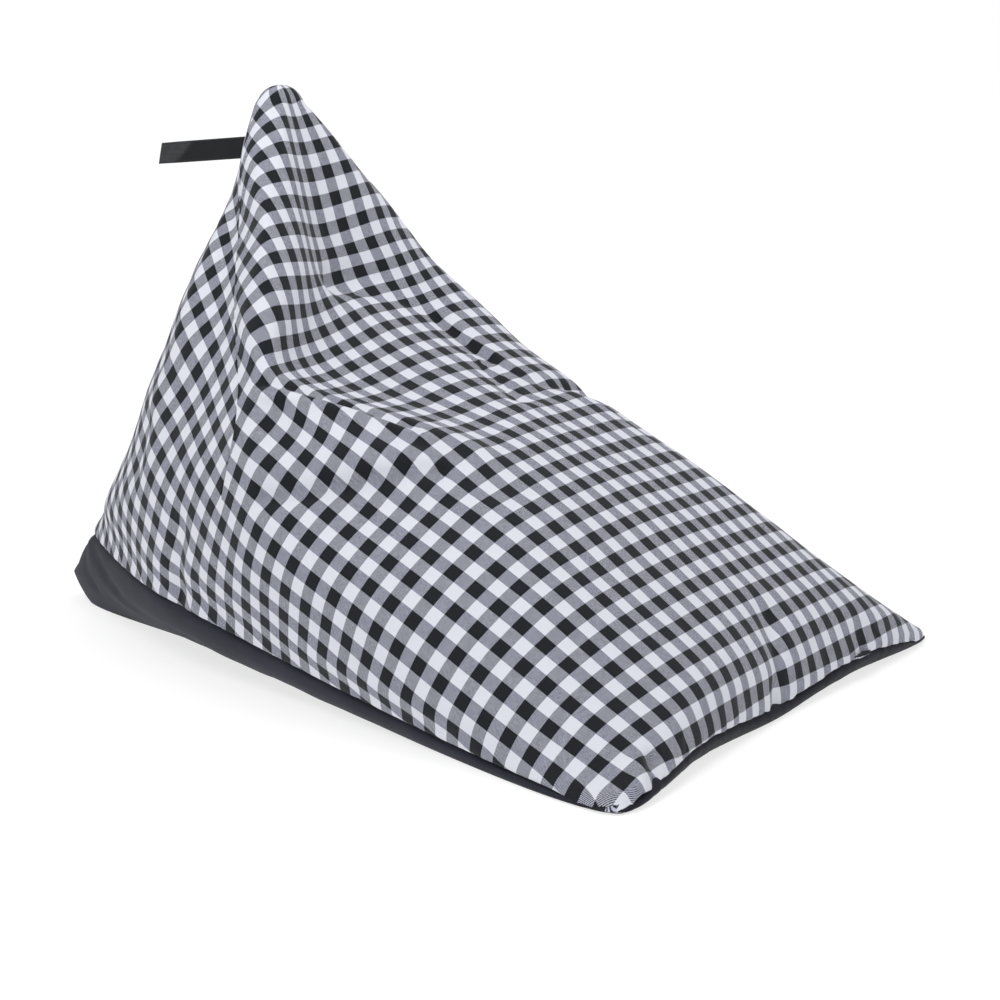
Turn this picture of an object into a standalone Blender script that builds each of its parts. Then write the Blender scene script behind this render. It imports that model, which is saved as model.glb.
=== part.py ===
"""Pyramid bean bag lounger: a gingham cover filled to a leaning pyramid, a charcoal base panel and a
leather handle. Metres, Z up. The front hem faces -Y and the single rear corner points to +Y.

The outline of the bag is given at eight stations on each flank, from the middle of the front round to
the back seam. "out" is the distance sideways from the crest, "back" the distance behind the front hem.
"""

import math

import bpy
import numpy as np
from mathutils import Vector
from mathutils.bvhtree import BVHTree

# General sizes
GAP = 0.0003
TOP_SECTION = 0.800
LEVEL_FROM = 0.200
TIP_RISE = 0.027
CREST_LEAN = 0.030
CREST_LEAN_FROM = 0.400
CORNER_POINT = 0.020
CORNER_REACH = 0.045
CORNER_SHARPNESS = 1.3
CORNER_FADE = 0.060
LEFT_CORNER_WAY = (-0.85, -0.50)
RIGHT_CORNER_WAY = (0.90, -0.50)
SEAM_WIDTH = 0.012
SEAM_REACH = 0.0084
SEAM_DEPTH = 0.006
SEAM_END_HEIGHT = 0.245
SEAM_FADE = 0.060
MIDDLE_BACK = 0.450
MIDDLE_HEIGHT = 0.050

# How finely the surface is divided
SPAN_COLUMNS = (10, 9, 7, 6, 4, 4, 4)
COVER_ROWS = 50
TIP_ROWS = 4
TIP_START_TURN = 0.80
TIP_LAST_TURN = 1.47
TIP_CAP = 0.001
UNDERSIDE_SCALES = (0.97, 0.85, 0.60, 0.30)
BASE_ROWS = 9
BASE_LEAST_LIFT = 0.0006

# The sewn hem between cover and base: out, back, height at each station
HEM = (
    # front, shoulder, corner, side
    (0.000, 0.003, 0.022),
    (0.290, -0.012, 0.034),
    (0.425, 0.006, 0.012),
    (0.403, 0.200, 0.018),
    # seam, wing, rump, back
    (0.285, 0.700, 0.078),
    (0.208, 0.940, 0.107),
    (0.105, 1.110, 0.120),
    (0.000, 1.211, 0.122),
)

# Level cuts through the cover: height, then (out, back) at each station
SECTIONS = (
    # height, front, shoulder, corner, side,
    #         seam, wing, rump, back
    (0.060, (0, 0.004), (0.270, 0.003), (0.376, 0.036), (0.405, 0.240),
            (0.292, 0.705), (0.223, 0.919), (0.120, 1.090), (0, 1.198)),
    (0.100, (0, 0.022), (0.235, 0.034), (0.354, 0.096), (0.392, 0.300),
            (0.304, 0.707), (0.230, 0.917), (0.136, 1.067), (0, 1.183)),
    (0.200, (0, 0.124), (0.200, 0.158), (0.296, 0.224), (0.361, 0.430),
            (0.322, 0.705), (0.245, 0.901), (0.174, 1.026), (0, 1.147)),
    (0.300, (0, 0.268), (0.170, 0.300), (0.250, 0.366), (0.314, 0.536),
            (0.322, 0.686), (0.257, 0.862), (0.221, 0.929), (0, 1.082)),
    (0.380, (0, 0.425), (0.125, 0.458), (0.235, 0.500), (0.283, 0.596),
            (0.300, 0.682), (0.242, 0.820), (0.214, 0.902), (0, 1.040)),
    (0.440, (0, 0.582), (0.125, 0.633), (0.225, 0.642), (0.266, 0.652),
            (0.252, 0.717), (0.220, 0.803), (0.205, 0.877), (0, 1.012)),
    (0.500, (0, 0.685), (0.128, 0.690), (0.213, 0.672), (0.243, 0.695),
            (0.213, 0.754), (0.186, 0.818), (0.181, 0.877), (0, 0.982)),
    (0.570, (0, 0.750), (0.117, 0.712), (0.180, 0.708), (0.200, 0.728),
            (0.163, 0.798), (0.148, 0.836), (0.147, 0.871), (0, 0.960)),
    (0.650, (0, 0.779), (0.090, 0.750), (0.131, 0.751), (0.148, 0.768),
            (0.106, 0.841), (0.092, 0.862), (0.084, 0.881), (0, 0.928)),
    (0.730, (0, 0.804), (0.069, 0.788), (0.090, 0.800), (0.095, 0.823),
            (0.083, 0.866), (0.068, 0.882), (0.043, 0.898), (0, 0.911)),
    (0.800, (0, 0.830), (0.028, 0.831), (0.040, 0.840), (0.045, 0.852),
            (0.042, 0.864), (0.034, 0.873), (0.020, 0.879), (0, 0.882)),
)

# How the right flank differs: height, then how much further forward its shoulder and its corner stand,
# and how much further out its corner
RIGHT_FLANK = (
    (0.000, 0.000, 0.000, 0.041),
    (0.022, 0.000, 0.000, 0.040),
    (0.060, 0.005, 0.026, 0.031),
    (0.100, 0.012, 0.044, 0.019),
    (0.200, 0.022, 0.054, 0.006),
    (0.300, 0.028, 0.054, 0.004),
    (0.380, 0.030, 0.047, 0.004),
    (0.440, 0.070, 0.080, 0.006),
    (0.500, 0.025, 0.028, 0.002),
    (0.570, 0.000, 0.000, -0.002),
    (0.800, 0.000, 0.000, 0.000),
)

# The base panel below the hem: (out, back, height) where it swells, then (out, back) at the floor
BASE_SWELL = (
    (0.000, -0.001, 0.010),
    (0.286, -0.008, 0.015),
    (0.430, 0.002, 0.006),
    (0.404, 0.207, 0.009),
    (0.268, 0.706, 0.036),
    (0.184, 0.955, 0.050),
    (0.092, 1.140, 0.052),
    (0.000, 1.269, 0.044),
)
BASE_CONTACT = (
    (0.000, 0.006),
    (0.280, 0.014),
    (0.421, 0.008),
    (0.394, 0.220),
    (0.202, 0.700),
    (0.118, 0.925),
    (0.070, 1.105),
    (0.000, 1.238),
)

# At the rear corner the base's side is folded to a blunt edge: how much of it, over what length round
REAR_FOLD = 0.90
REAR_FOLD_REACH = 0.110

# Soft creases of the filled cloth: start, middle and end (x, back, height), reach, depth in or out
FOLDS = (
    ((-0.275, 0.655, 0.430), (-0.225, 0.565, 0.400), (-0.150, 0.395, 0.352), 0.030, 0.009),
    ((-0.150, 0.640, 0.435), (-0.110, 0.560, 0.415), (-0.060, 0.450, 0.385), 0.060, -0.008),
    ((0.000, 0.735, 0.545), (0.130, 0.690, 0.492), (0.060, 0.450, 0.402), 0.026, -0.016),
    ((0.215, 0.640, 0.485), (0.165, 0.545, 0.455), (0.180, 0.420, 0.385), 0.065, 0.006),
    ((0.120, 0.455, 0.390), (0.190, 0.452, 0.386), (0.258, 0.430, 0.360), 0.024, -0.011),
    ((-0.300, 0.470, 0.290), (-0.270, 0.430, 0.300), (-0.180, 0.330, 0.300), 0.034, -0.006),
    ((0.050, 0.045, 0.130), (0.010, 0.020, 0.085), (-0.008, 0.004, 0.028), 0.022, -0.007),
    ((0.254, -0.004, 0.065), (0.247, -0.005, 0.045), (0.240, -0.005, 0.026), 0.022, -0.005),
    ((-0.286, 0.803, 0.215), (-0.272, 0.818, 0.165), (-0.250, 0.834, 0.100), 0.026, -0.008),
    ((-0.217, 0.923, 0.345), (-0.224, 0.929, 0.316), (-0.229, 0.936, 0.287), 0.032, -0.006),
)

# The handle: a strip folded double and held in the back seam
HANDLE_WIDTH = 0.0325
HANDLE_THICKNESS = 0.0024
HANDLE_SEAM_HEIGHT = 0.736
HANDLE_END_BACK = 1.084
HANDLE_DROP = 0.0126
HANDLE_RUN = 0.160
HANDLE_HALF_GAP = 0.0040
HANDLE_SEAM_HALF_GAP = 0.0014
HANDLE_OPENS_BY = 0.35
HANDLE_SEAT_GAP = 0.0004
HANDLE_STEPS = 18
HANDLE_TURN_STEPS = 6
HANDLE_ACROSS = 4


def clear_scene():
    for item in list(bpy.data.objects):
        bpy.data.objects.remove(item, do_unlink=True)


def material(name, colour, roughness, metallic=0.0):
    made = bpy.data.materials.new(name)
    made.use_nodes = True
    shader = made.node_tree.nodes["Principled BSDF"]
    shader.inputs["Base Color"].default_value = (*colour, 1.0)
    shader.inputs["Roughness"].default_value = roughness
    shader.inputs["Metallic"].default_value = metallic
    return made


def add_object(name, points, faces, made_of):
    mesh = bpy.data.meshes.new(name)
    mesh.from_pydata([tuple(point) for point in points], [], faces)
    mesh.polygons.foreach_set("use_smooth", [True] * len(mesh.polygons))
    mesh.materials.append(made_of)
    mesh.update()
    made = bpy.data.objects.new(name, mesh)
    bpy.context.scene.collection.objects.link(made)
    return made


def smooth_through(knots, values, at, closed=False):
    """A cubic that bends as little as it can through the values, one row per knot."""
    knots = np.asarray(knots, float)
    values = np.asarray(values, float)
    count = len(values)
    steps = np.diff(knots)
    system = np.zeros((count, count))
    right = np.zeros_like(values)
    for here in range(count):
        if closed:
            before, after = (here - 1) % count, (here + 1) % count
            left, ahead = steps[here - 1], steps[here]
        elif here in (0, count - 1):
            system[here, here] = 1.0
            continue
        else:
            before, after = here - 1, here + 1
            left, ahead = steps[here - 1], steps[here]
        system[here, before] += left
        system[here, here] += 2.0 * (left + ahead)
        system[here, after] += ahead
        slope_ahead = (values[after] - values[here]) / ahead
        slope_left = (values[here] - values[before]) / left
        right[here] = 6.0 * (slope_ahead - slope_left)
    bends = np.linalg.solve(system, right)
    if closed:
        values = np.concatenate([values, values[:1]])
        bends = np.concatenate([bends, bends[:1]])
    at = np.asarray(at, float)
    low = np.clip(np.searchsorted(knots, at, side="right") - 1, 0, len(steps) - 1)
    width = steps[low][:, None]
    a = (knots[low + 1] - at)[:, None]
    b = (at - knots[low])[:, None]
    straight = (values[low] * a + values[low + 1] * b) / width
    bent = bends[low] * (a**3 / width - a * width) + bends[low + 1] * (b**3 / width - b * width)
    return straight + bent / 6.0


def crest(height):
    """How far the crest leans to the right at a height."""
    part = min(max((height - CREST_LEAN_FROM) / (TOP_SECTION - CREST_LEAN_FROM), 0.0), 1.0)
    return CREST_LEAN * part


def both_flanks(stations, height):
    """The stations of the left flank, then those of the right, as one loop of points."""
    levels, *columns = zip(*RIGHT_FLANK)
    shoulder, corner, wider = (np.interp(height, levels, column) for column in columns)
    left = [(crest(level) - out, back, level) for out, back, level in stations]
    right = [(crest(level) + out, back, level) for out, back, level in stations]
    right[1] = (right[1][0], right[1][1] - shoulder, right[1][2])
    right[2] = (right[2][0] + wider, right[2][1] - corner, right[2][2])
    return np.array(left + right[-2:0:-1])


def section_stations(section):
    """A section's stations with their heights. Below LEVEL_FROM a cut follows the rise of the hem."""
    height = section[0]
    stations = []
    for (out, back), hem in zip(section[1:], HEM):
        if height < LEVEL_FROM:
            share = (height - HEM[0][2]) / (LEVEL_FROM - HEM[0][2])
            lifted = hem[2] + share * (LEVEL_FROM - hem[2])
        else:
            lifted = height
        stations.append((out, back, lifted))
    return stations


def station_loops():
    """The cover's loops of points from the hem to the top section, then the base's two loops."""
    cover = [both_flanks(HEM, 0.0)]
    cover += [both_flanks(section_stations(section), section[0]) for section in SECTIONS]
    swell = both_flanks(BASE_SWELL, 0.0)
    contact = both_flanks([(out, back, 0.0) for out, back in BASE_CONTACT], 0.0)
    return np.array(cover), swell, contact


def loop_knots(loops):
    """One spacing of the stations, shared by every loop: the mean distance from each to the next."""
    ahead = np.linalg.norm(np.roll(loops, -1, axis=1) - loops, axis=2).mean(axis=0)
    return np.concatenate([[0.0], np.cumsum(ahead)])


def column_places(knots):
    """Where the columns stand round the loop, with one on each side of either flank's sewn dart."""
    half = len(SPAN_COLUMNS)
    counts = SPAN_COLUMNS + SPAN_COLUMNS[::-1]
    darts = (4, 2 * half - 4)
    places = []
    for span, count in enumerate(counts):
        start, end = knots[span], knots[span + 1]
        places.append(start)
        if span in darts:
            start += SEAM_WIDTH
            places.append(start)
        if span + 1 in darts:
            end -= SEAM_WIDTH
        places.extend(start + (end - start) * step / count for step in range(1, count))
        if span + 1 in darts:
            places.append(end)
    return np.array(places)


def round_loop(knots, loop, places):
    """A smooth loop through the stations, drawn out to a point at each front corner."""
    points = smooth_through(knots, loop, places, closed=True)
    fade = np.exp(-((points[:, 2] / CORNER_FADE) ** 2))
    for corner, way in ((knots[2], LEFT_CORNER_WAY), (knots[-1] - knots[2], RIGHT_CORNER_WAY)):
        away = np.abs((places - corner) / CORNER_REACH) ** CORNER_SHARPNESS
        pull = CORNER_POINT * fade * np.exp(-away)
        points[:, 0] += way[0] * pull
        points[:, 1] += way[1] * pull
    return points


def rear_fold(knots, places):
    """How sharply the base's side is folded at each column."""
    return REAR_FOLD * np.exp(-(((places - knots[7]) / REAR_FOLD_REACH) ** 2))[:, None]


def base_ring(contact, swell, edge, share, fold):
    """A ring of the base's side, from the floor over the swell to the hem: a bow, or two straight runs
    where it is folded."""
    turn = 1.0 - share
    bowed = contact * turn**2 + (4 * swell - contact - edge) * turn * share + edge * share**2
    below = contact + (swell - contact) * 2.0 * share
    above = swell + (edge - swell) * (2.0 * share - 1.0)
    return bowed * (1.0 - fold) + (below if share < 0.5 else above) * fold


def surface_normals(grid):
    """Outward normals of a grid of points, rows upward and columns round the bag."""
    along = np.roll(grid, -1, axis=1) - np.roll(grid, 1, axis=1)
    upward = np.gradient(grid, axis=0)
    normals = np.cross(upward, along)
    length = np.linalg.norm(normals, axis=2, keepdims=True)
    return normals / np.maximum(length, 1e-9)


def distance_to_fold(points, start, middle, end, steps=24):
    """The distance of each point to a bent line that starts, passes its middle and ends."""
    start, middle, end = (np.array(place, float) for place in (start, middle, end))
    share = np.linspace(0.0, 1.0, steps)[:, None]
    pull = 2.0 * middle - 0.5 * (start + end)
    line = (1 - share) ** 2 * start + 2 * share * (1 - share) * pull + share**2 * end
    nearest = np.full(points.shape[:-1], np.inf)
    for place in line:
        nearest = np.minimum(nearest, np.linalg.norm(points - place, axis=-1))
    return nearest


def seam_share(height):
    """How much of the dart's groove shows at a height: none below its end, all of it a hand above."""
    share = np.clip((height - SEAM_END_HEIGHT) / SEAM_FADE, 0.0, 1.0)
    return share * share * (3.0 - 2.0 * share)


def add_folds(grid, places, knots):
    """Presses the creases and the two sewn darts into the cover. The hem row stays where it is sewn."""
    normals = surface_normals(grid)
    shift = np.zeros(grid.shape[:2])
    for start, middle, end, reach, depth in FOLDS:
        shift += depth * np.exp(-((distance_to_fold(grid, start, middle, end) / reach) ** 2))
    for dart in (knots[4], knots[-1] - knots[4]):
        across = np.exp(-((places - dart) / SEAM_REACH) ** 2)
        shift -= SEAM_DEPTH * across[None, :] * seam_share(grid[:, :, 2])
    shift[0] = 0.0
    return grid + normals * shift[:, :, None]


def cover_grid(loops, knots, places):
    """The cover's outside from the hem up to the blunt tip, one row above another."""
    rounds = np.array([round_loop(knots, loop, places) for loop in loops])
    rise = np.linalg.norm(np.diff(rounds, axis=0), axis=2).mean(axis=1)
    levels = np.concatenate([[0.0], np.cumsum(rise)])
    rows = levels[-1] * np.linspace(0.0, 1.0, COVER_ROWS)
    grid = smooth_through(levels, rounds.reshape(len(levels), -1), rows)
    grid = add_folds(grid.reshape(COVER_ROWS, len(places), 3), places, knots)
    rim = grid[-1]
    middle = rim.mean(axis=0)
    tip = []
    start = TIP_START_TURN
    for turn in np.linspace(start, TIP_LAST_TURN, TIP_ROWS + 1)[1:]:
        ring = middle + (rim - middle) * math.cos(turn) / math.cos(start)
        ring[:, 2] += TIP_RISE * (math.sin(turn) - math.sin(start)) / (1.0 - math.sin(start))
        tip.append(ring)
    return np.concatenate([grid, np.array(tip)])


def underside(hem, lowered):
    """Rings from the hem inward across the face where cover and base lie on each other."""
    middle = np.array([0.0, MIDDLE_BACK, MIDDLE_HEIGHT - lowered])
    rings = []
    for scale in UNDERSIDE_SCALES:
        ring = middle + (hem - [0, 0, lowered] - middle) * scale
        settle = 1.0 - (1.0 - scale) ** 2
        ring[:, 2] = middle[2] + (hem[:, 2] - lowered - middle[2]) * settle
        rings.append(ring)
    return rings, middle


def strips(rings, columns, turned_from=None):
    """Triangles between each ring and the next. From the ring turned_from on, they split the other way."""
    faces = []
    for ring in range(rings - 1):
        low = ring * columns
        high = low + columns
        turned = turned_from is not None and ring >= turned_from
        for column in range(columns):
            after = (column + 1) % columns
            a, b, c, d = low + column, low + after, high + after, high + column
            faces += [(a, b, d), (b, c, d)] if turned else [(a, b, c), (a, c, d)]
    return faces


def fan(ring_start, columns, centre, turned):
    """Triangles from a ring to one point."""
    faces = []
    for column in range(columns):
        after = (column + 1) % columns
        pair = (ring_start + column, ring_start + after)
        faces.append((*pair, centre) if turned else (*pair[::-1], centre))
    return faces


def closed_body(rings, bottom_middle, top_middle, turned_from=None):
    """One closed mesh from rings stacked upward, closed by a point below and one above."""
    columns = len(rings[0])
    points = np.concatenate([*rings, [bottom_middle], [top_middle]])
    total = len(rings) * columns
    faces = strips(len(rings), columns, turned_from)
    faces += fan(0, columns, total, turned=False)
    faces += fan(total - columns, columns, total + 1, turned=True)
    return points, faces


def facing_out(points, faces):
    """The faces with their order turned round if the body would be inside out."""
    volume = 0.0
    for face in faces:
        origin = points[face[0]]
        for second, third in zip(face[1:-1], face[2:]):
            volume += np.dot(origin, np.cross(points[second], points[third]))
    return faces if volume > 0 else [face[::-1] for face in faces]


def build_cover(grid):
    rings, middle = underside(grid[0], 0.0)
    stack = rings[::-1] + list(grid)
    top = grid[-1].mean(axis=0) + [0, 0, TIP_CAP]
    points, faces = closed_body(stack, middle, top)
    return points, facing_out(points, faces)


def build_base(hem, swell, contact, fold):
    """The base panel with its share of the filling: flat below, swelling at its edge, hem above."""
    edge = hem - [0, 0, GAP]
    upward = []
    for share in np.linspace(0.0, 1.0, BASE_ROWS):
        ring = base_ring(contact, swell, edge, share, fold)
        ring[:, 2] = np.maximum(ring[:, 2], 0.0 if share == 0.0 else BASE_LEAST_LIFT)
        upward.append(ring)
    across, middle = underside(hem, GAP)
    floor_middle = np.array([0.0, MIDDLE_BACK, 0.0])
    # Its upper face is split like the cover's underside, so that the two keep one gap all over.
    points, faces = closed_body(upward + across, floor_middle, middle, turned_from=BASE_ROWS - 1)
    return points, facing_out(points, faces)


def handle_path(seam_back):
    """The folded strip seen from above: out along one leaf, round the fold and back, with its side."""
    run = HANDLE_END_BACK - seam_back
    centre = crest(HANDLE_SEAM_HEIGHT)
    path = []
    for step in range(HANDLE_STEPS + 1):
        share = step / HANDLE_STEPS
        opening = math.sin(math.pi * 0.5 * min(1.0, share / HANDLE_OPENS_BY))
        half = HANDLE_SEAM_HALF_GAP + (HANDLE_HALF_GAP - HANDLE_SEAM_HALF_GAP) * opening
        path.append((centre - half, seam_back + share * (run - HANDLE_HALF_GAP)))
    for step in range(1, HANDLE_TURN_STEPS):
        turn = math.pi * step / HANDLE_TURN_STEPS
        back = HANDLE_END_BACK - HANDLE_HALF_GAP + HANDLE_HALF_GAP * math.sin(turn)
        path.append((centre - HANDLE_HALF_GAP * math.cos(turn), back))
    path += [(2 * centre - x, back) for x, back in path[HANDLE_STEPS::-1]]
    return np.array(path)


def build_handle(cover):
    """The strip swept along its path. Its two ends stand just off the cover behind the back seam."""
    tree = BVHTree.FromObject(cover, bpy.context.evaluated_depsgraph_get())

    def cover_back(x, height):
        hit = tree.ray_cast(Vector((x, 2.0, height)), Vector((0, -1, 0)))[0]
        return hit.y + HANDLE_SEAT_GAP

    centre = crest(HANDLE_SEAM_HEIGHT)
    path = handle_path(cover_back(centre, HANDLE_SEAM_HEIGHT))
    along = np.gradient(path, axis=0)
    along /= np.linalg.norm(along, axis=1)[:, None]
    sideways = np.stack([along[:, 1], -along[:, 0]], axis=1) * HANDLE_THICKNESS * 0.5
    levels = np.linspace(-0.5, 0.5, HANDLE_ACROSS + 1) * HANDLE_WIDTH
    points = []
    for index, (place, side) in enumerate(zip(path, sideways)):
        drop = HANDLE_DROP * (place[1] - path[0, 1]) / HANDLE_RUN
        height = HANDLE_SEAM_HEIGHT - drop
        at_seam = index in (0, len(path) - 1)
        outer = [(*(place - side), height + level) for level in levels]
        inner = [(*(place + side), height + level) for level in levels[::-1]]
        for x, back, level in outer + inner:
            points.append((x, cover_back(x, level) if at_seam else back, level))
    points = np.array(points)
    around = 2 * (HANDLE_ACROSS + 1)
    faces = strips(len(path), around)
    last = (len(path) - 1) * around
    for level in range(HANDLE_ACROSS):
        pair = (level, level + 1, around - 2 - level, around - 1 - level)
        faces.append(pair[::-1])
        faces.append(tuple(last + corner for corner in pair))
    return points, facing_out(points, faces)


def main():
    clear_scene()
    gingham = material("gingham_cloth", (0.30, 0.30, 0.32), 0.85)
    charcoal = material("charcoal_cloth", (0.045, 0.048, 0.058), 0.75)
    leather = material("black_leather", (0.020, 0.021, 0.024), 0.45)

    loops, swell, contact = station_loops()
    knots = loop_knots(loops)
    places = column_places(knots)
    grid = cover_grid(loops, knots, places)
    swell = round_loop(knots, swell, places)
    contact = round_loop(knots, contact, places)
    contact[:, 2] = 0.0

    cover = add_object("gingham_cover", *build_cover(grid), gingham)
    base = add_object("base_panel", *build_base(grid[0], swell, contact, rear_fold(knots, places)), charcoal)
    handle = add_object("handle", *build_handle(cover), leather)

    every = (cover, base, handle)
    corners = np.array([vertex.co[:] for item in every for vertex in item.data.vertices])
    centre = (corners.min(axis=0) + corners.max(axis=0)) / 2
    for item in every:
        for vertex in item.data.vertices:
            vertex.co.x -= centre[0]
            vertex.co.y -= centre[1]
        item.data.update()


main()
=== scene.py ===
"""Pyramid bean bag lounger: the dressed model. A gingham cover over its filling, a charcoal base panel
and a leather handle. Metres, Z up. The front hem faces -Y and the single rear corner points to +Y.

Shapes are worked out in the hem's own frame (x from the crest, y back from the front hem) and are moved
into the shared frame at the end.
"""

import math

import bpy
import numpy as np
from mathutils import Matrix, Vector, noise


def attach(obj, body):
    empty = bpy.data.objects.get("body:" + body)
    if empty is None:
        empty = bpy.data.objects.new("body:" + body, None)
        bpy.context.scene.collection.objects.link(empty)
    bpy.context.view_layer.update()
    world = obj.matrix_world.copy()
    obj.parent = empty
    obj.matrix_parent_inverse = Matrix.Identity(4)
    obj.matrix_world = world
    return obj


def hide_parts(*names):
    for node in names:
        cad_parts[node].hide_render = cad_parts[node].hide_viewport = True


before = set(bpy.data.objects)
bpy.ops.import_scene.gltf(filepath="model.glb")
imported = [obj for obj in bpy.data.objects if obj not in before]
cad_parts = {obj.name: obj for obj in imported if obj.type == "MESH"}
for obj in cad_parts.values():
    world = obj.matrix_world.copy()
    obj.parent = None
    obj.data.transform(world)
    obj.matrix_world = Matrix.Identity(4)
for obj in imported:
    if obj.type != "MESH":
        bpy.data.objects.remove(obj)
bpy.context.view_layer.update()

# General sizes of the lounger, in metres
TOP_SECTION = 0.800
LEVEL_FROM = 0.200
TIP_RISE = 0.027
CREST_LEAN = 0.030
CREST_LEAN_FROM = 0.400
CORNER_POINT = 0.020
CORNER_REACH = 0.045
CORNER_SHARPNESS = 1.3
CORNER_FADE = 0.060
LEFT_CORNER_WAY = (-0.85, -0.50)
RIGHT_CORNER_WAY = (0.90, -0.50)
MIDDLE_BACK = 0.450
MIDDLE_HEIGHT = 0.050
TIP_START_TURN = 0.80
TIP_LAST_TURN = 1.50
TIP_LENGTH = 0.036
TIP_BLUNTNESS = 0.80
TIP_CAP = 0.0004
GAP = 0.0003

# The sewn hem between cover and base: out, back, height at each station
HEM = (
    # front, shoulder, corner, side
    (0.000, 0.003, 0.022),
    (0.290, -0.012, 0.034),
    (0.425, 0.006, 0.012),
    (0.403, 0.200, 0.018),
    # seam, wing, rump, back
    (0.285, 0.700, 0.078),
    (0.208, 0.940, 0.107),
    (0.105, 1.110, 0.120),
    (0.000, 1.211, 0.122),
)

# Level cuts through the cover: height, then (out, back) at each station
SECTIONS = (
    # height, front, shoulder, corner, side,
    #         seam, wing, rump, back
    (0.060, (0, 0.004), (0.270, 0.003), (0.376, 0.036), (0.405, 0.240),
            (0.292, 0.705), (0.223, 0.919), (0.120, 1.090), (0, 1.198)),
    (0.100, (0, 0.022), (0.235, 0.034), (0.354, 0.096), (0.392, 0.300),
            (0.304, 0.707), (0.230, 0.917), (0.136, 1.067), (0, 1.183)),
    (0.200, (0, 0.124), (0.200, 0.158), (0.296, 0.224), (0.361, 0.430),
            (0.322, 0.705), (0.245, 0.901), (0.174, 1.026), (0, 1.147)),
    (0.300, (0, 0.268), (0.170, 0.300), (0.250, 0.366), (0.314, 0.536),
            (0.322, 0.686), (0.257, 0.862), (0.221, 0.929), (0, 1.082)),
    (0.380, (0, 0.425), (0.125, 0.458), (0.235, 0.500), (0.283, 0.596),
            (0.300, 0.682), (0.242, 0.820), (0.214, 0.902), (0, 1.040)),
    (0.440, (0, 0.582), (0.125, 0.633), (0.225, 0.642), (0.266, 0.652),
            (0.252, 0.717), (0.220, 0.803), (0.205, 0.877), (0, 1.012)),
    (0.500, (0, 0.685), (0.128, 0.690), (0.213, 0.672), (0.243, 0.695),
            (0.213, 0.754), (0.186, 0.818), (0.181, 0.877), (0, 0.982)),
    (0.570, (0, 0.750), (0.117, 0.712), (0.180, 0.708), (0.200, 0.728),
            (0.163, 0.798), (0.148, 0.836), (0.147, 0.871), (0, 0.960)),
    (0.650, (0, 0.779), (0.090, 0.750), (0.131, 0.751), (0.148, 0.768),
            (0.106, 0.841), (0.092, 0.862), (0.084, 0.881), (0, 0.928)),
    (0.730, (0, 0.804), (0.069, 0.788), (0.090, 0.800), (0.095, 0.823),
            (0.078, 0.859), (0.063, 0.873), (0.047, 0.885), (0, 0.907)),
    (0.800, (0, 0.830), (0.028, 0.831), (0.040, 0.840), (0.045, 0.852),
            (0.042, 0.864), (0.034, 0.873), (0.020, 0.879), (0, 0.882)),
)

# How the right flank differs: height, then how much further forward its shoulder and its corner stand,
# and how much further out its corner
RIGHT_FLANK = (
    (0.000, 0.000, 0.000, 0.041),
    (0.022, 0.000, 0.000, 0.040),
    (0.060, 0.005, 0.026, 0.031),
    (0.100, 0.012, 0.044, 0.019),
    (0.200, 0.022, 0.054, 0.006),
    (0.300, 0.028, 0.054, 0.004),
    (0.380, 0.030, 0.047, 0.004),
    (0.440, 0.070, 0.080, 0.006),
    (0.500, 0.025, 0.028, 0.002),
    (0.570, 0.000, 0.000, -0.002),
    (0.800, 0.000, 0.000, 0.000),
)

# The base panel below the hem: (out, back, height) where it swells, then (out, back) at the floor
BASE_SWELL = (
    (0.000, -0.001, 0.010),
    (0.286, -0.008, 0.015),
    (0.430, 0.002, 0.006),
    (0.404, 0.207, 0.009),
    (0.268, 0.706, 0.036),
    (0.184, 0.955, 0.050),
    (0.092, 1.140, 0.052),
    (0.000, 1.269, 0.044),
)
BASE_CONTACT = (
    (0.000, 0.006),
    (0.280, 0.014),
    (0.421, 0.008),
    (0.394, 0.220),
    (0.202, 0.700),
    (0.118, 0.925),
    (0.070, 1.105),
    (0.000, 1.238),
)

# At the rear corner the base's side is folded to a blunt edge: how much of it, over what length round
REAR_FOLD = 0.90
REAR_FOLD_REACH = 0.110

# Soft creases of the filled cloth: start, middle and end (x, back, height), reach, depth in or out
FOLDS = (
    ((-0.275, 0.655, 0.430), (-0.225, 0.565, 0.400), (-0.150, 0.395, 0.352), 0.030, 0.009),
    ((-0.150, 0.640, 0.435), (-0.110, 0.560, 0.415), (-0.060, 0.450, 0.385), 0.060, -0.008),
    ((0.000, 0.735, 0.545), (0.130, 0.690, 0.492), (0.060, 0.450, 0.402), 0.026, -0.016),
    ((0.215, 0.640, 0.485), (0.165, 0.545, 0.455), (0.180, 0.420, 0.385), 0.065, 0.006),
    ((0.120, 0.455, 0.390), (0.190, 0.452, 0.386), (0.258, 0.430, 0.360), 0.024, -0.011),
    ((-0.300, 0.470, 0.290), (-0.270, 0.430, 0.300), (-0.180, 0.330, 0.300), 0.034, -0.006),
    ((0.050, 0.045, 0.130), (0.010, 0.020, 0.085), (-0.008, 0.004, 0.028), 0.022, -0.007),
    ((0.254, -0.004, 0.065), (0.247, -0.005, 0.045), (0.240, -0.005, 0.026), 0.022, -0.005),
    ((-0.286, 0.803, 0.215), (-0.272, 0.818, 0.165), (-0.250, 0.834, 0.100), 0.026, -0.008),
    ((-0.217, 0.923, 0.345), (-0.224, 0.929, 0.316), (-0.229, 0.936, 0.287), 0.032, -0.006),
)

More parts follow.
